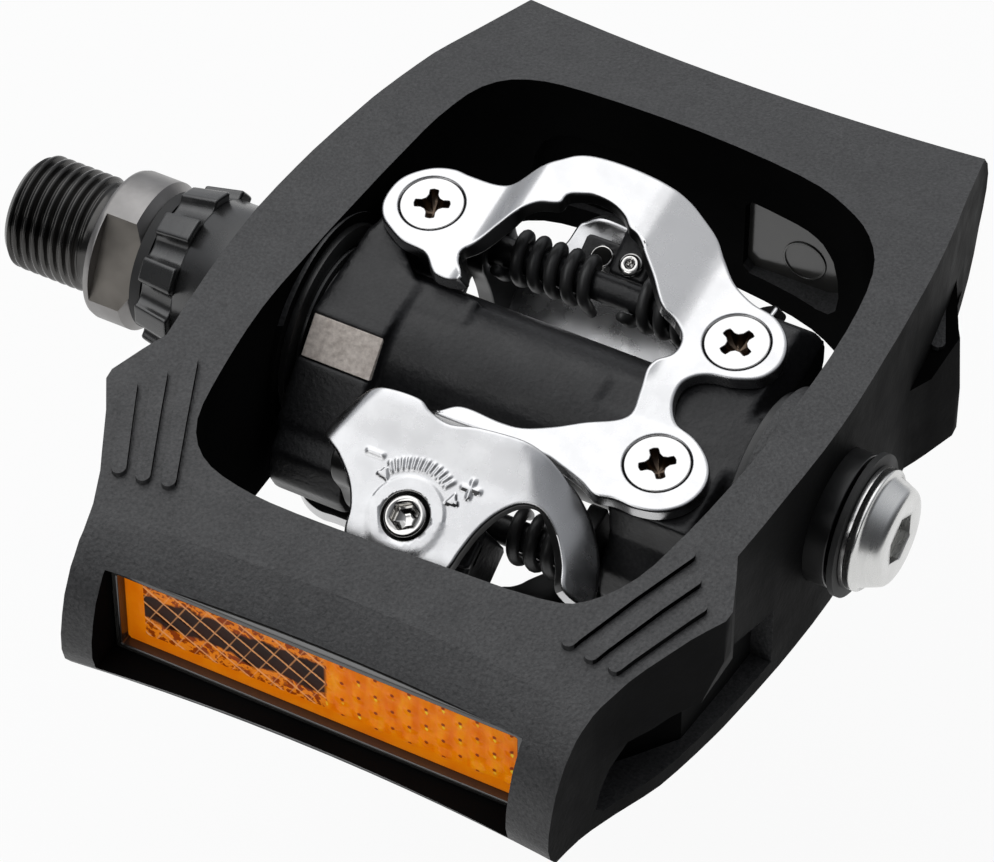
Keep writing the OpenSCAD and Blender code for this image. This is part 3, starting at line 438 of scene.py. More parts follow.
class Mesh:
    """Collects vertices and faces, in mm."""

    def __init__(self):
        self.points = []
        self.faces = []
        self.count = 0
        self.marked = []

    def add(self, points):
        self.points.append(np.asarray(points, float))
        ids = np.arange(self.count, self.count + len(points))
        self.count += len(points)
        return ids

    def bridge(self, a, b, closed=True):
        n = len(a)
        for i in range(n if closed else n - 1):
            j = (i + 1) % n
            self.faces.append((b[i], b[j], a[j], a[i]))

    def cap(self, ring, up=True):
        self.faces.append(tuple(ring if up else ring[::-1]))

    def fill(self, loops, ids, lift, step, up=True, fine=()):
        """Triangles over the first loop less the others; ids are the loops' vertices."""
        g = lattice(loops[0].min(0), loops[0].max(0), step)
        for lo, hi, close in fine:
            g = g[~np.all((g > lo) & (g < hi), axis=1)]
            g = np.vstack([g, lattice(lo, hi, close)])
        keep = within(g, loops[0])
        for h in loops[1:]:
            keep &= ~within(g, h)
        g = g[keep]
        rim = np.vstack(loops)
        if len(g):
            near = np.array([np.min(np.sum((rim - q) ** 2, axis=1)) for q in g])
            pitch = np.full(len(g), step)
            for lo, hi, close in fine:
                pitch[np.all((g > lo) & (g < hi), axis=1)] = close
            g = g[near > (0.5 * pitch) ** 2]
        flat = np.vstack([rim, g]) if len(g) else rim
        edges, start = [], 0
        for loop in loops:
            n = len(loop)
            edges += [(start + i, start + (i + 1) % n) for i in range(n)]
            start += n
        out = delaunay_2d_cdt([Vector(q) for q in flat], edges, [], 0, 1e-7)
        known = np.concatenate(list(ids) + [self.add(lift(g))]) if len(g) else np.concatenate(ids)
        flat = np.array([tuple(q) for q in out[0]])
        made = [self.add(lift(flat[i:i + 1]))[0] if not o else known[o[0]]
                for i, o in enumerate(out[3])]
        tri = np.array(out[2])
        mid = flat[tri].mean(1)
        keep = within(mid, loops[0])
        for h in loops[1:]:
            keep &= ~within(mid, h)
        for f in tri[keep]:
            a, b, c = flat[f]
            ccw = (b[0] - a[0]) * (c[1] - a[1]) - (b[1] - a[1]) * (c[0] - a[0]) > 0
            self.faces.append(tuple(made[v] for v in (f if ccw == up else f[::-1])))

    def mark(self):
        """Faces added between two marks take the piece's second material."""
        self.marked.append(len(self.faces))

    def array(self):
        return np.vstack(self.points)

    def object(self, name, mat, points=None, weld=0.0):
        p = (self.array() if points is None else points) * MM
        mesh = bpy.data.meshes.new(name)
        faces = [tuple(int(v) for v in f) for f in self.faces]
        mesh.from_pydata([tuple(q) for q in p], [], faces)
        mesh.update()
        for a, b in zip(self.marked[::2], self.marked[1::2]):
            for f in mesh.polygons[a:b]:
                f.material_index = 1
        bm = bmesh.new()
        bm.from_mesh(mesh)
        if weld:
            bmesh.ops.remove_doubles(bm, verts=bm.verts, dist=weld * MM)
        bmesh.ops.dissolve_degenerate(bm, edges=bm.edges, dist=1e-7)
        bmesh.ops.recalc_face_normals(bm, faces=bm.faces)
        bm.to_mesh(mesh)
        bm.free()
        for f in mesh.polygons:
            f.use_smooth = True
        index = [f.material_index for f in mesh.polygons]
        o = new_object(name, mesh, mat)
        mesh.polygons.foreach_set("material_index", index)
        return o


def rim_rings(t, r, steps=3):
    """(inset, depth) of the rings round a sheet's rounded rim, top to bottom."""
    over = [(r * (1 - math.sin(a)), r * (1 - math.cos(a)))
            for a in np.linspace(0, math.pi / 2, steps + 1)]
    over = [(r + 0.14, 0.0)] + over
    return over + [(i, t - d) for i, d in reversed(over)]


def bent_sheet(m, top, base, t, outline, holes=(), r=0.3, step=0.5, fine=(), under_step=1.6):
    """Adds a sheet bent to the height top(x, y), t thick, with a rounded rim.

    base is the height without relief; a hole is a list of (loop, depth), top to bottom."""
    def lift(xy, depth, height):
        x, y = xy[:, 0], xy[:, 1]
        e = 0.05
        n = np.stack([-(base(x + e, y) - base(x - e, y)) / (2 * e),
                      -(base(x, y + e) - base(x, y - e)) / (2 * e), np.ones(len(x))], 1)
        n /= np.linalg.norm(n, axis=1, keepdims=True)
        return np.stack([x, y, height(x, y)], 1) - n * depth

    loop = left_handed(outline)
    inward = to_left(loop)
    rims = [[(loop + inward * i, d) for i, d in rim_rings(t, r)]]
    rims += [[(left_handed(h, hole=True), d) for h, d in rings] for rings in holes]
    tops, bottoms = [], []
    for rim in rims:
        last = None
        for k, (xy, depth) in enumerate(rim):
            ids = m.add(lift(xy, depth, top if k == 0 else base))
            if last is not None:
                m.bridge(last, ids)
            else:
                tops.append((xy, ids))
            last = ids
        bottoms.append((rim[-1][0], last))
    m.fill([q[0] for q in tops], [q[1] for q in tops], lambda g: lift(g, 0, top), step, True, fine)
    m.fill([q[0] for q in bottoms], [q[1] for q in bottoms], lambda g: lift(g, t, base),
           under_step, False)


def level(x, y):
    """The height of a sheet that isn't bent."""
    return np.zeros(len(x))


def slab(m, outline, t, place, holes=(), r=0.25, step=2.0):
    """Adds a flat plate, drawn in plan from z 0 down to -t, and put in place by place()."""
    first = len(m.points)
    bent_sheet(m, level, level, t, outline, holes, r, step)
    for k in range(first, len(m.points)):
        m.points[k] = place(m.points[k])


def lathe(m, profile, sides=96):
    """Adds a body of revolution about the spindle axis from an (x, r) outline, open at its ends."""
    a = np.linspace(0, 2 * math.pi, sides, endpoint=False)
    rings = []
    for x, r in profile:
        rings.append(m.add(np.stack([np.full(sides, x), r * np.cos(a), r * np.sin(a)], 1)))
    for p, q in zip(rings, rings[1:]):
        m.bridge(p, q)
    return rings


def finish(obj, keep_sharp=False):
    n = obj.modifiers.new("normals", "WEIGHTED_NORMAL")
    n.keep_sharp = keep_sharp
    return obj


def pair(node, m, mat, extra="", marked=None):
    """The piece for the top of the binding and its twin half a turn below."""
    out = []
    for side in ("top", "bottom"):
        p = to_world(m.array())
        if side == "bottom":
            p = half_turn(p)
        o = finish(m.object(side + "_" + node + extra + "_piece", mat, p))
        if marked:
            o.data.materials.append(marked)
        name = side + "_" + node
        place(o, BODY[name], SLOT[name], [] if extra else [name])
        out.append(o)
    return out


def shade_under(pieces, hole, reach, below=-0.35):
    """Gives a sheet's under side, and its rim round the hole, the plate with painted shade."""
    for o, s in zip(pieces, (1, -1)):
        o.data.materials.append(PLATE_PAINTED_SHADE)
        for f in o.data.polygons:
            ny, nz, y, z = (s * v for v in (f.normal.y, f.normal.z, f.center.y, f.center.z))
            up = nz * math.cos(TILT) - ny * math.sin(TILT)
            along = ny * math.cos(TILT) + nz * math.sin(TILT)
            dx = hole[0] + PEDAL_X - f.center.x / MM
            dy = hole[1] - (y * math.cos(TILT) + z * math.sin(TILT)) / MM
            near = math.hypot(dx, dy)
            if f.material_index == 0 and (up < below or (
                    abs(up) < 0.8 and near < reach and dx * f.normal.x + dy * along > 0.25 * near)):
                f.material_index = len(o.data.materials) - 1


# ---- front claws ----

DECK, PLATE_T = 11.2, 2.0           # the plate's top over the spindle axis, and its sheet
RISE, DROP = 2.3, 1.3               # the hoop above the deck, and the tongue below it
SCREWS = [(-20.4, 13.2, DECK, 20), (20.8, 9.9, DECK, 62), (19.7, -7.9, DECK - DROP, 38)]

FRONT = [(-25.9, 11.3), (-25.6, 15), (-23.1, 17.8), (-20.4, 18.8), (-18.3, 18.7), (-14.5, 18.9),
         (-12.6, 19.9), (-11, 21.6), (-8.8, 23.6), (-7.3, 24.9), (-5.4, 25.6), (-1.05, 25.9),
         (3.6, 25.5), (7.4, 24.7), (10.2, 23.3), (12.4, 21.9), (14.2, 19.9), (16.9, 17.2),
         (20, 15.6), (23.1, 14.9), (25.4, 13.1), (26.5, 10.9), (26.6, 8.6), (25.5, 6.5),
         (23, 5.2), (20, 4.5), (18.5, 3.6), (17.6, 2.2), (17.8, -0.2), (19.2, -2.2), (22, -3.1),
         (24.4, -4.9), (25.7, -6.9), (26, -9.2), (25.1, -11.7), (22.9, -13.6), (20.1, -14.3),
         (17.5, -14.2), (15.2, -14.6), (13, -13.6), (9.6, -12.5), (8, -12.1), (1, -12.1),
         (-6.9, -12.1), (-6.3, -11.7),
         (-4.6, -10.2), (-3.2, -9.9), (1, -10.1), (3.5, -9.8), (6.7, -8.2), (9.6, -6.2),
         (13.1, -4.1), (13.8, -2.9), (13.5, -0.2), (13.1, 2.6), (13.5, 4), (14.8, 5.5),
         (15, 6.9), (14.4, 8.5), (12.7, 9.9), (11, 10.6), (8.3, 13.6), (6.6, 15.3), (5.2, 16.7),
         (4.2, 17.5), (3.1, 17.9), (1.75, 19.2), (-0.3, 20.2), (-2.7, 20.45), (-3.8, 20.1),
         (-5.5, 19.2), (-5.7, 17.9), (-8, 16.9), (-9.6, 15.2), (-11.6, 12.6), (-13.1, 10),
         (-13.9, 8.5), (-13.6, 7.2), (-12.6, 5.7), (-12.2, 4.9), (-12.6, 4.5), (-15.4, 4.5),
         (-16, 4.9), (-17.9, 6.6), (-19, 6.8), (-21, 7), (-23.1, 8), (-24.9, 9.3)]
HOOP_LINE = np.array([(-30, 0), (-13.5, 0), (-12.8, 0.3), (-10.6, 1.95), (-9.7, RISE), (3.6, RISE),
                      (5.6, 2.1), (13, 0.2), (14.4, 0), (30, 0)])


def soft_line(line, x, soft):
    """The polyline's height at x, its corners rounded over soft mm."""
    shifts = np.linspace(-1, 1, 7)
    weight = 1 - np.abs(shifts) * 0.75
    return sum(w * np.interp(x + s * soft, line[:, 0], line[:, 1])
               for s, w in zip(shifts, weight)) / weight.sum()


def ease(x, a, b):
    s = np.clip((x - a) / (b - a), 0, 1)
    return s * s * (3 - 2 * s)


def front_base(x, y):
    lift = soft_line(HOOP_LINE, x, 0.55) * ease(y, 0.2, 3.0)
    step = DROP * np.clip((5 - y) / 8, 0, 1) ** 1.5 * (x > -10)
    tab = 0.22 * ease(6.6 - y, 0, 1.2) * (x < -8)
    return DECK + lift - step - tab


def front_top(x, y):
    # A small wedge pressed up out of the hoop's leg
    u = (x - 5.4) * 0.80 - (y - 16.6) * 0.60
    v = (x - 5.4) * 0.60 + (y - 16.6) * 0.80
    nub = 0.55 * np.clip(1 + u / 2.8, 0, 1) * np.clip(1 - np.abs(v) / (0.55 + 0.1 * u), 0, 1) \
        * (u < 0.35)
    return front_base(x, y) + nub


def screw_hole(x, y):
    n = 48
    return [(circle(x, y, r, n), d) for r, d in
            ((4.2, 0.0), (4.06, 0.0), (4.0, 0.05), (3.98, 0.3), (1.95, 1.95), (1.95, 2.0))]


m = Mesh()
bent_sheet(m, front_top, front_base, PLATE_T, curve(FRONT, 0.42),
           [screw_hole(x, y) for x, y, k, a in SCREWS], 0.34, 0.5,
           [((2.2, 14.2), (7.4, 18.6), 0.2), ((11.5, -4.4), (19.6, -1.8), 0.3)])
shade_under(pair("front_claw", m, PLATE), (0, 13.5), 15)


# ---- countersunk screws with a cross recess ----

def cross_loop(arm, half, inner):
    """A cross in plan: arms of half-width half, with its four inner corners cut back."""
    quarter = [(arm, -half), (arm + 0.12, 0), (arm, half), (half + inner + 0.5, half),
               (half + inner, half + inner), (half, half + inner + 0.5)]
    pts = []
    for k in range(4):
        c, s = round(math.cos(k * math.pi / 2)), round(math.sin(k * math.pi / 2))
        pts += [(x * c - y * s, x * s + y * c) for x, y in quarter]
    return resample(np.array(pts, float), 0.12)


HEAD_R = 3.6                        # the flat of a plate screw's head


def plate_screw(m, x, y, k, turn):
    a = math.radians(turn)

    def put(xy, z):
        c, s = math.cos(a), math.sin(a)
        return np.stack([x + xy[:, 0] * c - xy[:, 1] * s, y + xy[:, 0] * s + xy[:, 1] * c,
                         np.full(len(xy), k + z)], 1)

    n = 64
    out = [(HEAD_R, -0.06), (3.68, -0.06), (3.73, -0.09), (3.75, -0.2), (1.72, -2.2), (1.7, -8.0)]
    rings = [m.add(put(left_handed(circle(0, 0, r, n)), z)) for r, z in out]
    for p, q in zip(rings, rings[1:]):
        m.bridge(p, q)
    m.cap(rings[-1], False)
    loop = left_handed(cross_loop(2.02, 0.52, 0.26), hole=True)
    outward = to_left(loop)
    levels = [(loop + 0.12 * outward, -0.06), (loop + 0.02 * outward, -0.06), (loop, -0.12),
              (loop * 0.94, -0.9), (loop * 0.62, -1.6)]
    cuts = [m.add(put(xy, z)) for xy, z in levels]
    for p, q in zip(cuts[:2], cuts[1:]):
        m.bridge(p, q)
    # The recess's walls and floor take the painted shade
    m.mark()
    for p, q in zip(cuts[2:], cuts[3:]):
        m.bridge(p, q)
    middle = m.add(put(np.zeros((1, 2)), -2.0))[0]
    last = cuts[-1]
    for i in range(len(last)):
        m.faces.append((middle, last[(i + 1) % len(last)], last[i]))
    m.mark()
    head = left_handed(circle(0, 0, HEAD_R, n))
    m.fill([head, levels[0][0]], [rings[0], cuts[0]], lambda g: put(g, -0.06), 0.6)


m = Mesh()
for x, y, k, a in SCREWS:
    plate_screw(m, x, y, k, a)
pair("plate_screws", m, SCREW, marked=RECESS_PAINTED_SHADE)


# ---- rear claws ----

JAW, CLAW_T = 12.5, 2.0
BOLT_X, BOLT_Y, LEAN = -3.8, -24.4, math.radians(21)
PIVOT_Y, PIVOT_K = -15.5, -4.0
REAR = [(-17.6, -18.6), (-15.6, -14.6), (-13.8, -12.9), (-11.6, -12.5), (-7.6, -12.5),
        (-6.2, -13.3), (-3.6, -13.9), (0.2, -13.1), (6.3, -12.6), (9.5, -13.1), (13, -14.2),
        (15.6, -16), (18, -19.2), (19.2, -22.6), (19.3, -24.4), (18.2, -24.9), (16.2, -24.7),
        (15, -22.4), (13, -19.9), (10.6, -18.6), (8.2, -18.9), (6.2, -20.6), (4.8, -23),
        (4, -25.6), (3.3, -28.4), (1.8, -29.6), (-3, -29.8), (-8, -29.7), (-9.7, -28.5),
        (-10.4, -25.6), (-11.8, -23.2), (-14.2, -21)]
SIDE_LINE = np.array([(-32, -11), (-30.2, -9.4), (-29, -7.6), (-27.5, -6.7), (-24.4, -5.5),
                      (-18, -2.9), (-14.6, -1.1), (-13.2, -0.3), (-12, 0), (-8, 0)])
LINE_X = np.array([(-18, -5.4), (-16.4, -3.4), (-14, -1), (-12, 0.2), (-10, 0.5), (5, 0.5),
                   (8, -0.6), (11, -3), (15, -6), (19.5, -10), (24, -14)])


def rear_base(x, y):
    a = JAW + soft_line(SIDE_LINE, y, 0.7)
    b = JAW + soft_line(LINE_X, x, 0.9)
    return 0.5 * (a + b - np.sqrt((a - b) ** 2 + 1.0)) + 0.12


def bar(u, v, half_u, half_v, soft=0.5):
    return np.clip((half_u - np.abs(u)) / soft + 0.5, 0, 1) \
        * np.clip((half_v - np.abs(v)) / soft + 0.5, 0, 1)


def rear_top(x, y):
    """The claw's face with its tension scale: ticks, a minus, a plus and two end marks."""
    u, v = x - BOLT_X, (y - BOLT_Y) / math.cos(LEAN)
    r, a = np.hypot(u, v), np.arctan2(v, u)
    relief = 0.13 * ease(4.75 - r, 0, 0.35)
    marks = np.zeros(len(x))
    for i in range(12):
        t = math.radians(131 - 6.7 * i)
        du, dv = u * math.cos(t) + v * math.sin(t), -u * math.sin(t) + v * math.cos(t)
        marks = np.maximum(marks, bar(du - 6.05, dv + 0.12 * (du - 6.05), 0.72, 0.19, 0.42))
    for cu, cv, hu, hv, turn in ((-6.35, 5.4, 1.15, 0.26, 0), (5.85, 5.45, 1.25, 0.26, 4),
                                 (5.85, 5.45, 0.26, 1.2, 4)):
        t = math.radians(turn)
        du = (u - cu) * math.cos(t) + (v - cv) * math.sin(t)
        dv = -(u - cu) * math.sin(t) + (v - cv) * math.cos(t)
        marks = np.maximum(marks, bar(du, dv, hu, hv))
    for t in (math.radians(141), math.radians(38)):
        du, dv = u * math.cos(t) + v * math.sin(t), -u * math.sin(t) + v * math.cos(t)
        grow = np.clip((du - 4.55) / 1.5, 0, 1)
        marks = np.maximum(marks, np.clip((0.75 * grow - np.abs(dv)) / 0.2 + 0.4, 0, 1)
                           * (du < 6.15) * (du > 4.5))
    return rear_base(x, y) + relief + 0.2 * marks


n = 56
sq = math.cos(LEAN)
seat = [(circle(BOLT_X, BOLT_Y, r, n, sq), d)
        for r, d in ((2.98, 0.0), (2.88, 0.1), (2.86, 1.15), (1.9, 1.15), (1.9, 2.0))]
m = Mesh()
bent_sheet(m, rear_top, rear_base, CLAW_T, curve(REAR, 0.42), [seat], 0.34, 0.5,
           [((-13.0, -23.6), (4.4, -17.2), 0.17)])
m.mark()
EAR = [(-13.2, 9.0), (-17, 8.0), (-20.4, 6.0), (-21, 3.4), (-19.9, -0.8), (-19.4, -4.4),
       (-18.0, -7.0), (-15.5, -7.9), (-13.0, -7.0), (-11.6, -4.2), (-12.1, -1.4), (-12.7, 2),
       (-13, 6)]
for x0, roof in ((-13.6, 9.0), (15.8, 5.2)):
    side = curve([(a, min(b, roof)) for a, b in EAR], 0.5)
    bore = [(circle(PIVOT_Y, PIVOT_K, r, 40), d)
            for r, d in ((2.6, 0), (2.45, 0.15), (2.45, 2.05), (2.6, 2.2))]
    slab(m, side, 2.2, lambda p, x0=x0: np.stack([x0 + p[:, 2], p[:, 0], p[:, 1]], 1), [bore])
m.mark()
shade_under(pair("rear_claw", m, PLATE, marked=BLACK), (8.5, -25), 9.5, -2)


# ---- tension bolts and nuts ----

def at_bolt(p):
    """From the tension bolt's own frame (z along its axis) to the binding's."""
    p = np.asarray(p, float)
    c, s = math.cos(LEAN), math.sin(LEAN)
    k = JAW - 5.6
    return np.stack([BOLT_X + p[:, 0], BOLT_Y + p[:, 1] * c - p[:, 2] * s,
                     k + p[:, 1] * s + p[:, 2] * c], 1)


def socket_screw(m, place, rings, across, top, deep, count=72):
    """A turned head with a hexagon socket: rings are (r, z) from the socket's lip outwards."""
    a = np.linspace(0, 2 * math.pi, count, endpoint=False)
    sector = (a + math.radians(30)) % math.radians(60) - math.radians(30)
    hexa = (across / 2) / np.cos(sector)

    def ring(r, z):
        return m.add(place(np.stack([r * np.cos(a), r * np.sin(a), np.full(count, z)], 1)))

    loops = [ring(hexa * 0.30, deep - 0.35), ring(hexa * 0.985, deep), ring(hexa, deep + 0.12),
             ring(hexa, top - 0.12), ring(hexa + 0.1, top)] + [ring(r, z) for r, z in rings]
    for p, q in zip(loops, loops[1:]):
        m.bridge(p, q)
    m.cap(loops[0])
    m.cap(loops[-1], False)


m = Mesh()
socket_screw(m, at_bolt, [(1.98, 0.52), (2.1, 0.55), (2.25, 0.53), (2.4, 0.42), (2.47, 0.28),
                          (2.47, -0.93), (1.5, -0.95), (1.5, -6.5), (1.2, -6.8)], 3.0, 0.5, -0.85)
pair("tension_bolt", m, CHROME)


def boxed(m, lo, hi, place, r=0.35):
    """A block with rounded upright edges and rims, from lo to hi."""
    c = [(lo[0], lo[1]), (hi[0], lo[1]), (hi[0], hi[1]), (lo[0], hi[1])]
    w = 0.5
    pts = []
    for (x, y), (sx, sy) in zip(c, ((1, 1), (-1, 1), (-1, -1), (1, -1))):
        corner = [(x, y + sy * w), (x + sx * w * 0.29, y + sy * w * 0.29), (x + sx * w, y)]
        pts += corner if sx * sy > 0 else corner[::-1]
    slab(m, resample(np.array(pts, float), 0.5), hi[2] - lo[2],
         lambda p: place(p + (0, 0, hi[2])), r=r)


FINGER_END = -12.3                  # along the bolt, from its seat
m = Mesh()
boxed(m, (-3.4, -2.6, -5.0), (8.2, 1.2, -3.25), at_bolt)
boxed(m, (3.4, -4.0, FINGER_END), (8.2, 2.6, -3.6), at_bolt, 0.5)
pair("tension_nut", m, ENAMEL)
# Stud in the end of the nut's finger
m = Mesh()
socket_screw(m, lambda p: at_bolt(p * (1, -1, -1) + (5.9, 1.0, FINGER_END)),
             [(0.9, 0.95), (1.2, 0.88), (1.4, 0.7), (1.45, 0.5), (1.45, -0.5)],
             0.8, 0.92, 0.65, 40)
for o in pair("tension_nut", m, CHROME, extra="_stud"):
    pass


# ---- springs ----

def sweep(m, path, r, sides=14):
    """Adds a round wire along the path."""
    n = len(path)
    t = np.gradient(path, axis=0)
    t /= np.linalg.norm(t, axis=1, keepdims=True)
    u = np.cross(t[0], (1, 0, 0.001))
    u /= np.linalg.norm(u)
    a = np.linspace(0, 2 * math.pi, sides, endpoint=False)
    rings = []
    for i in range(n):
        u = u - t[i] * np.dot(u, t[i])
        u /= np.linalg.norm(u)
        w = np.cross(t[i], u)
        ends = 0.8 if i in (0, n - 1) else 1.0
        rings.append(m.add(path[i] + ends * r * (np.outer(np.cos(a), u) + np.outer(np.sin(a), w))))
    for p, q in zip(rings, rings[1:]):
        m.bridge(q, p)
    m.cap(rings[0], False)
    m.cap(rings[-1])


def coil(r, pitch, turns, start, x0, leg, per_turn=28):
    a = np.radians(start) + np.linspace(0, 2 * math.pi * turns, int(turns * per_turn) + 1)
    x = x0 + pitch * (a - a[0]) / (2 * math.pi)
    p = np.stack([x, r * np.cos(a), r * np.sin(a)], 1)
    if leg:
        d0, d1 = p[0] - p[1], p[-1] - p[-2]
        p = np.vstack([p[:1] + d0 / np.linalg.norm(d0) * leg, p,
                       p[-1:] + d1 / np.linalg.norm(d1) * leg])
    return p


# Pin and coils are slimmer than their nodes, and lie COIL_K above the joint's axis, as photographed
COIL_K = PIVOT_K + 0.65
PIN_R, PIN_HALF, PIN_EDGE = 1.75, 18.3, 0.25
m = Mesh()
a = np.linspace(0, 2 * math.pi, 40, endpoint=False)
pin = [m.add(np.stack([np.full(40, x), PIVOT_Y + r * np.cos(a), COIL_K + r * np.sin(a)], 1))
       for x, r in ((-PIN_HALF, PIN_R - PIN_EDGE), (PIN_EDGE - PIN_HALF, PIN_R),
                    (PIN_HALF - PIN_EDGE, PIN_R), (PIN_HALF, PIN_R - PIN_EDGE))]
for p, q in zip(pin, pin[1:]):
    m.bridge(q, p)
m.cap(pin[0], False)
m.cap(pin[-1])
pair("pivot_pin", m, ENAMEL)

WIRE, COIL_R, COIL_PITCH, COIL_START, COIL_LEG = 0.76, 2.62, 2.2, 22, 2.3
m = Mesh()
for turns, x0 in ((5, -11.9), (3, 4.6)):
    wound = coil(COIL_R, COIL_PITCH, turns, COIL_START, x0, COIL_LEG)
    sweep(m, wound + (0, PIVOT_Y, COIL_K), WIRE)
pair("claw_springs", m, SPRING)

SLEEVE_R, LEFT_BOSS = 9.8, PEDAL_X - 27.9
POP_WIRE, POP_CLEAR, POP_PITCH, POP_TURNS = 0.6, 0.95, 1.7, 2
m = Mesh()
sweep(m, coil(SLEEVE_R + POP_CLEAR + POP_WIRE, POP_PITCH, POP_TURNS, 20, LEFT_BOSS - 4.9, 0), POP_WIRE)
o = finish(m.object("pop_up_spring_piece", SPRING))
place(o, BODY["pop_up_spring"], SLOT["pop_up_spring"], ["pop_up_spring"])


# ---- axle ----

def crank_thread(m, length=12.4, pitch=1.27, r=7.14, deep=0.72, sides=72, per=8):
    """A cut thread from the axle's end to the neck before the collar."""
    shape = np.array([1, 1, 0.62, 0.12, 0, 0.1, 0.58, 0.98])
    neck, bore, bore_deep = -1.7, 2.5, 2.0
    rows = int((length / pitch + 2) * per)
    a = np.linspace(0, 2 * math.pi, sides, endpoint=False)
    rings = []

    def ring(x, radius):
        x = np.broadcast_to(x, a.shape)
        radius = np.broadcast_to(radius, a.shape)
        rings.append(m.add(np.stack([x, radius * np.cos(a), radius * np.sin(a)], 1)))

    def limit(x):
        """The chamfer at the axle's end and the run-out at the neck."""
        lead = r - 1.15 + x + length
        out = r - deep * np.clip((x - neck + 0.9) / 0.9, 0, 1)
        return np.minimum(np.minimum(lead, out), r)

    ring(-length, bore)
    ring(-length, r - 1.3)
    for j in range(rows):
        x = -length + 0.15 + pitch * (j / per - 1 + a / (2 * math.pi))
        x = np.clip(x, -length + 0.15, neck)
        ring(x, np.minimum(r - deep * (1 - shape[j % per]), limit(x)))
    ring(neck + 0.1, r - deep)
    ring(-0.5, r - deep)
    ring(-0.05, r - deep + 0.35)
    ring(0.3, r - deep + 0.35)
    for p, q in zip(rings, rings[1:]):
        m.bridge(q, p)
    m.cap(rings[-1])
    bottom = m.add(np.stack([np.full(len(a), bore_deep - length), bore * np.cos(a),
                             bore * np.sin(a)], 1))
    m.bridge(rings[0], bottom)
    m.cap(bottom)


m = Mesh()
crank_thread(m)
o = finish(m.object("crank_thread_piece", THREAD, weld=0.001))
place(o, "spindle_unit", "axle_steel")

FLAT_TURN = math.radians(62)
FLAT = Vector((0, -math.sin(FLAT_TURN), math.cos(FLAT_TURN)))     # normal of the wrench flats
FLAT_X = (1.2, 6.6)                                               # the collar, seat to seal


def cut_before(mesh, x):
    """Cuts off what lies before x, and closes the cut."""
    bm = bmesh.new()
    bm.from_mesh(mesh)
    geom = bm.verts[:] + bm.edges[:] + bm.faces[:]
    cut = bmesh.ops.bisect_plane(bm, geom=geom, plane_co=(x * MM, 0, 0), plane_no=(-1, 0, 0),
                                 clear_outer=True)
    edges = [e for e in cut["geom_cut"] if isinstance(e, bmesh.types.BMEdge)]
    bmesh.ops.edgeloop_fill(bm, edges=edges)
    bm.to_mesh(mesh)
    bm.free()


o = dressed("spindle", OXIDE, 0.12, trim=lambda mesh: cut_before(mesh, -0.1))
o.data.materials.append(BARE)
for f in o.data.polygons:
    if abs(f.normal.dot(FLAT)) > 0.999 and FLAT_X[0] < f.center.x / MM < FLAT_X[1]:
        f.material_index = 1

# Lock sleeve: a ring with flat-topped teeth and round valleys, on a plain sleeve
TOOTH_R, TEETH, TOOTH_X, TOOTH_LEN = 10.78, 10, 8.0, 4.8


def tooth_ring():
    pitch = 2 * math.pi / TEETH
    pts = []
    for i in range(TEETH):
        for t, r in ((-0.262, 10.1), (-0.245, 10.6), (-0.22, TOOTH_R), (-0.08, TOOTH_R),
                     (0.08, TOOTH_R), (0.22, TOOTH_R), (0.245, 10.6), (0.262, 10.1),
                     (0.33, 9.55), (0.41, 9.34), (0.5, 9.28), (0.59, 9.34), (0.67, 9.55)):
            a = (i + t) * pitch
            pts.append((r * math.cos(a), r * math.sin(a)))
    return resample(curve(pts, 0.1), 0.26)


def tapered(p):
    """The teeth grow from the crank's side outwards."""
    x = TOOTH_X - p[:, 2]
    r = np.hypot(p[:, 0], p[:, 1])
    grow = 1 - 0.085 * (1 - ease(x, TOOTH_X - 0.1, TOOTH_X + 3.2)) * ease(r, 8.0, 9.2)
    return np.stack([x, p[:, 0] * grow, -p[:, 1] * grow], 1)


m = Mesh()
inner = 6.6
bore = [(circle(0, 0, r, 64), d) for r, d in ((inner + 0.15, 0), (inner, 0.15),
                                              (inner, TOOTH_LEN), (inner + 0.1, TOOTH_LEN + 0.1))]
# The slab's own z runs along -x, so its top faces the crank
slab(m, tooth_ring(), TOOTH_LEN + 0.1, tapered, [bore], r=0.3)
plain = [(12.6, 6.7), (12.6, 9.3), (12.75, 9.6), (13.1, SLEEVE_R), (30.2, SLEEVE_R), (30.2, 8.6),
         (36.5, 8.6), (36.5, 8.0), (16.2, 8.0), (16.2, 6.7)]
rings = lathe(m, plain)
m.bridge(rings[-1], rings[0])
o = finish(m.object("lock_sleeve_piece", SLEEVE), True)
place(o, BODY["lock_sleeve"], SLOT["lock_sleeve"], ["lock_sleeve"])
b = o.modifiers.new("edges", "BEVEL")
b.width = 0.15 * MM
b.segments = 2
b.limit_method = "ANGLE"
b.angle_limit = math.radians(50)


# ---- reflectors ----

def lens_relief(x, y):
    """Low ridges over the left half, rows of small peaks over the right."""
    x = x - PEDAL_X
    c, s = math.cos(LATTICE_TURN), math.sin(LATTICE_TURN)
    u, v = (x * c + y * s) / CELL, (-x * s + y * c) / CELL
    off = np.minimum(0.5 - np.abs(u % 1 - 0.5), 0.5 - np.abs(v % 1 - 0.5)) * CELL
    ridge = 0.08 * ease(0.3 - off, 0, 0.3)
    fx = x / CELL
    fy = y / PRISM_ROW + 0.5 * (np.round(fx) % 2)
    away = np.hypot((fx - np.round(fx)) * CELL, (fy - np.round(fy)) * 2.6)
    peak = 0.28 * np.clip(1 - away / 1.1, 0, 1)
    inner = ease(x, -23.4, -22.9) * ease(-x, -23.4, -22.9)
    inner = inner * ease(y, -4.2, -3.8) * ease(-y, -4.6, -4.2)
    return inner * np.where(x < 0.2, ridge, peak)


FACE_IN = 0.25                      # room in front of the face for its relief


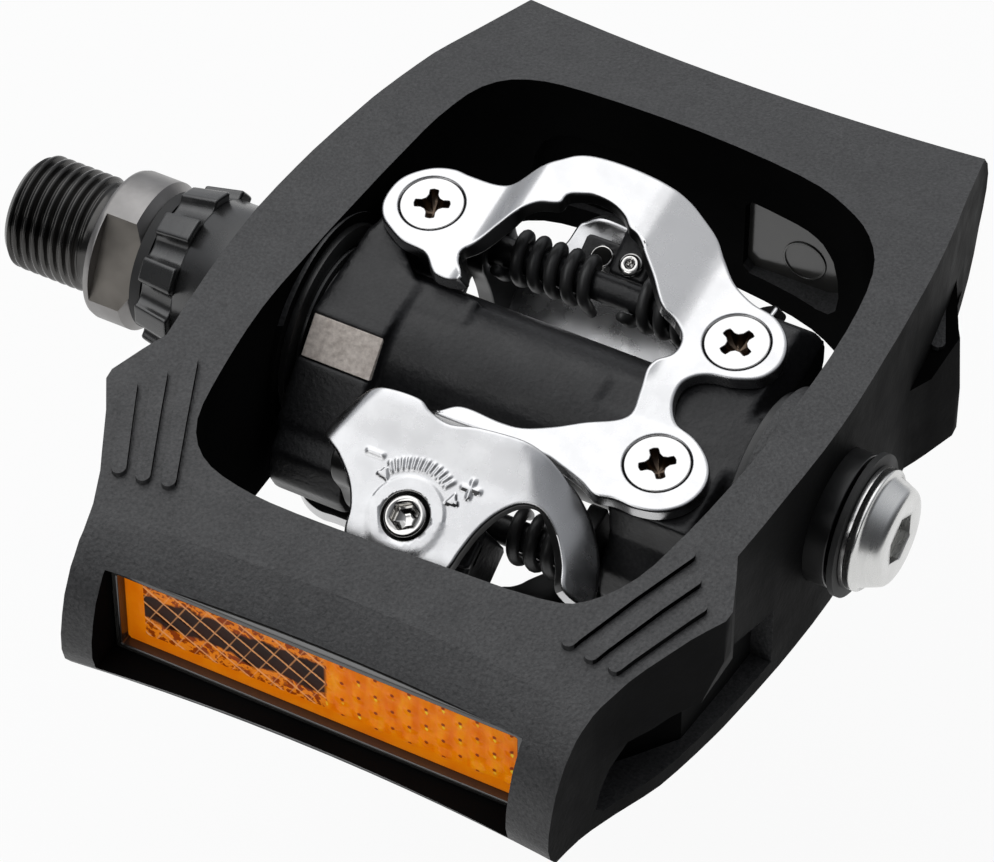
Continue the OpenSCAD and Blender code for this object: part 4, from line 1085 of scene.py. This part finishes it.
def lens(node, turn):
    lo, hi = (np.array(q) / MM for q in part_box("near_reflector"))
    r = 0.5
    c = []
    for x, z in ((lo[0], lo[2]), (hi[0], lo[2]), (hi[0], hi[2]), (lo[0], hi[2])):
        sx, sz = (1 if x == lo[0] else -1), (1 if z == lo[2] else -1)
        corner = [(x, z + sz * r), (x + sx * 0.3 * r, z + sz * 0.3 * r), (x + sx * r, z)]
        c += corner if sx * sz > 0 else corner[::-1]
    m = Mesh()
    bent_sheet(m, lens_relief, level, hi[1] - lo[1] - FACE_IN, resample(np.array(c), 0.7), (), r, 0.33)
    p = m.array()
    p = np.stack([p[:, 0], lo[1] + FACE_IN - p[:, 2], p[:, 1]], 1)
    o = finish(m.object(node + "_piece", AMBER, half_turn(p) if turn else p))
    place(o, BODY[node], SLOT[node], [node])


lens("near_reflector", False)
lens("far_reflector", True)

EDGES = {"right_bushing": 0.2, "near_reflector_housing": 0.2, "far_reflector_housing": 0.2,
         "stop_pads": 0.1}
for node, width in EDGES.items():
    dressed(node, BY_SLOT[SLOT[node]], width)
for node in ("near_reflector_housing", "far_reflector_housing"):
    bpy.data.objects[node + "_dressed"].data.materials[0] = GLOSS


# ---- cage: textured outside, polished where the mould slides ran, painted shade in its openings and on its flanks ----

CROWN = np.array([(-54.2, 8.4), (-47, 8.8), (-40, 10.8), (-33, 12.1), (-24, 13.2)])
ARC_Y, ARC_R = -298.5, 253.4        # the line where the end's rounding starts


def ease_cage(mesh):
    """Runs the top into the rounded ends, with no line between them."""
    bm = bmesh.new()
    bm.from_mesh(mesh)
    for v in bm.verts:
        s = 1 if v.co.y < 0 else -1
        x, y, z = abs(v.co.x / MM - PEDAL_X), s * v.co.y / MM, s * v.co.z / MM
        if abs(math.hypot(x, y - ARC_Y) - ARC_R) < 0.06 and abs(z - 8.8) < 0.06:
            v.co.z = s * np.interp(y, CROWN[:, 0], CROWN[:, 1]) * MM
    bmesh.ops.remove_doubles(bm, verts=bm.verts, dist=2e-5)
    bmesh.ops.dissolve_degenerate(bm, edges=bm.edges, dist=1e-6)
    bm.to_mesh(mesh)
    bm.free()


cage = dressed("cage", CAGE, 0.45, 3, trim=ease_cage)
for mat in (PAINTED_SHADE_RESIN, GLOSS, FLANK_PAINTED_SHADE):
    cage.data.materials.append(mat)
# 1 is painted shade deep in the opening, the windows and the flanks' pockets, 2 the slide's floor, 3
# painted shade on the flanks
for f in cage.data.polygons:
    x, y, z = (v / MM for v in f.center)
    x -= PEDAL_X
    nx, ny, nz = f.normal
    if abs(x) < 32.5 and abs(y) < 40.6 and abs(nz) < 0.6:
        hollow = abs(y) > 39.6 and abs(ny) > 0.9 and -7.5 < z * (1 if y > 0 else -1) < 3.5
        f.material_index = 2 if hollow and x > 0 and abs(nx) < 0.05 else 1
    elif abs(x) < 27.5 and abs(y) > 45.5 and abs(z) < 7.6 and (
            abs(ny) < 0.3 and min(math.copysign(nx, nx * x), math.copysign(nz, nz * z)) < -0.5):
        f.material_index = 1
    elif abs(x) > 26 and nx * x > 0.55 * abs(x):
        f.material_index = 3
    elif 27 < abs(x) < 38 and 13 < abs(y) < 48 and abs(z) < 8.4 and nz * z * y < 0:
        f.material_index = 1

for turn in (False, True):
    m = Mesh()
    for x in (14.2, -14.8):
        mark = [(circle(x, -4.0, 2.6, 40), 0.0), (circle(x, -4.0, 2.6, 40), 0.25)]
        slab(m, circle(x, -4.0, 2.85, 40), 0.25, lambda p: np.stack(
            [p[:, 0] + PEDAL_X, 39.8 - p[:, 2], p[:, 1]], 1), [mark], 0.08)
    name = "ejector_marks_" + ("near" if turn else "far")
    o = finish(m.object(name, GLOSS, half_turn(m.array()) if turn else None))
    place(o, "platform", "cage_resin")


# ---- binding body: a casting, so its edges and corners run into each other ----

BLOCK_Y, BLOCK_LEAN = 15.5, 0.42    # past this the right block's far edge draws in
BARREL_R = 8.8                      # a dip beside the block is filled out to the barrel

body = dressed("binding_body", ENAMEL, 0.0)
for mod in list(body.modifiers):
    body.modifiers.remove(mod)
for v in body.data.vertices:
    x, s = v.co.x / MM - PEDAL_X, 1 if v.co.y > 0 else -1
    y = s * (v.co.y * math.cos(TILT) + v.co.z * math.sin(TILT)) / MM
    if x > 15 and y > BLOCK_Y:
        v.co.y -= s * BLOCK_LEAN * (y - BLOCK_Y) * MM
    r = math.hypot(v.co.y, v.co.z) / MM
    if 8 < x < 12.6 and -0.6 < s * v.co.y / MM < 6.5 and 7.0 < r < 8.75:
        v.co.y, v.co.z = v.co.y * BARREL_R / r, v.co.z * BARREL_R / r
mod = body.modifiers.new("cast", "REMESH")
mod.mode = "VOXEL"
mod.voxel_size = 0.36 * MM
mod.use_smooth_shade = True
mod = body.modifiers.new("soft", "SMOOTH")
mod.factor = 0.5
mod.iterations = 7


# ---- end bolt ----

END_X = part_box("end_bolt")[1][0] / MM
HEAD_LEN, SHANK_R, SHANK_LEN = 3.8, 3.2, 8
m = Mesh()
arc = [(4.85 + 1.15 * math.sin(a), -1.15 + 1.15 * math.cos(a)) for a in np.linspace(0.1, 1.2, 9)]
socket_screw(m, lambda p: np.stack([END_X + p[:, 2], p[:, 0], p[:, 1]], 1),
             [(3.75, -0.02), (4.85, 0.0)] + arc
             + [(6.3, -1.7), (6.62, -2.5), (6.78, -2.82), (7.18, -2.86), (7.3, -2.98),
                (7.3, -HEAD_LEN), (SHANK_R, -HEAD_LEN), (SHANK_R, -HEAD_LEN - SHANK_LEN)],
             5.4, -0.12, -2.9)
TURNED = metal("turned steel", (0.62, 0.62, 0.61), (0.70, 0.70, 0.69), 0.28, (6, 1, 1), 2.2, 0.006)
o = finish(m.object("end_bolt_piece", TURNED))
place(o, BODY["end_bolt"], SLOT["end_bolt"], ["end_bolt"])


# ---- floor, light and camera ----

def area(name, loc, aim, size, power, size_y=None):
    d = bpy.data.lights.new(name, "AREA")
    d.shape = "RECTANGLE"
    d.size = size
    d.size_y = size_y or size
    d.energy = power
    o = bpy.data.objects.new(name, d)
    bpy.context.scene.collection.objects.link(o)
    o.location = loc
    o.rotation_euler = (Vector(aim) - Vector(loc)).to_track_quat("-Z", "Y").to_euler()
    return o


MIDDLE = (0.055, 0, 0)
area("overhead", (-0.37, 0.04, 0.80), (0, 0, 0), 1.45, 3.35, 0.6)
area("low", (-0.20, -0.72, 0.56), MIDDLE, 0.42, 0.75, 0.3)

world = bpy.data.worlds.new("studio")
bpy.context.scene.world = world
world.use_nodes = True
wt = world.node_tree
bg = wt.nodes["Background"]
# Brighter overhead, behind and to the left than in front and to the right
sky = wt.nodes.new("ShaderNodeTexCoord")
side = wt.nodes.new("ShaderNodeVectorMath")
side.operation = "DOT_PRODUCT"
side.inputs[1].default_value = (-0.3, 0.5, 0.75)
link(wt, sky.outputs["Generated"], side.inputs[0])
shade = ramp(wt, side.outputs["Value"], [(0.0, (0.08, 0.082, 0.086)), (0.3, (0.17, 0.175, 0.185)),
                                         (0.6, (0.52, 0.535, 0.565)), (0.85, (0.80, 0.81, 0.83))])
link(wt, shade, bg.inputs["Color"])
bg.inputs["Strength"].default_value = 1.0

floor_mesh = bpy.data.meshes.new("floor")
FLOOR_Z, HALF = -0.075, 1.5
floor_mesh.from_pydata([(-HALF, -HALF, FLOOR_Z), (HALF, -HALF, FLOOR_Z), (HALF, HALF, FLOOR_Z),
                        (-HALF, HALF, FLOOR_Z)], [], [(0, 1, 2, 3)])
floor_mat, ft, fp = shader("studio floor")
fp.inputs["Base Color"].default_value = (0.85, 0.85, 0.85, 1)
fp.inputs["Roughness"].default_value = 0.7
floor_glow = ft.nodes.new("ShaderNodeEmission")
floor_glow.inputs["Color"].default_value = (1, 1, 1, 1)
floor_glow.inputs["Strength"].default_value = 1.0
floor_path = ft.nodes.new("ShaderNodeLightPath")
floor_mix = ft.nodes.new("ShaderNodeMixShader")
floor_share = ft.nodes.new("ShaderNodeMath")
floor_share.operation = "MULTIPLY"
floor_share.inputs[1].default_value = 0.92
seen = math_node(ft, "MAXIMUM", floor_path.outputs["Is Camera Ray"],
                 math_node(ft, "MAXIMUM", floor_path.outputs["Is Glossy Ray"],
                           floor_path.outputs["Is Transmission Ray"]))
link(ft, seen, floor_share.inputs[0])
link(ft, floor_share.outputs[0], floor_mix.inputs[0])
link(ft, fp.outputs[0], floor_mix.inputs[1])
link(ft, floor_glow.outputs[0], floor_mix.inputs[2])
link(ft, floor_mix.outputs[0], ft.nodes["Material Output"].inputs["Surface"])
floor = new_object("floor", floor_mesh, floor_mat)
floor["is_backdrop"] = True

AZ, EL, DIST, FOCAL = math.radians(28.636), math.radians(44.835), 0.578076, 183.04
TARGET = Vector((0.054643, -0.006505, 0))
cam_data = bpy.data.cameras.new("camera")
cam = bpy.data.objects.new("camera", cam_data)
bpy.context.scene.collection.objects.link(cam)
away = Vector((math.sin(AZ) * math.cos(EL), -math.cos(AZ) * math.cos(EL), math.sin(EL)))
cam.location = TARGET + DIST * away
cam.rotation_euler = (-away).to_track_quat("-Z", "Y").to_euler()
cam_data.sensor_width = 36
cam_data.lens = FOCAL
cam_data.clip_start = 0.01
bpy.context.scene.camera = cam
bpy.context.scene.view_settings.view_transform = "Standard"


def plain(box):
    return [[float(v) for v in corner] for corner in box]


{"cad": plain(cad_box), "visual": plain(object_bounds())}
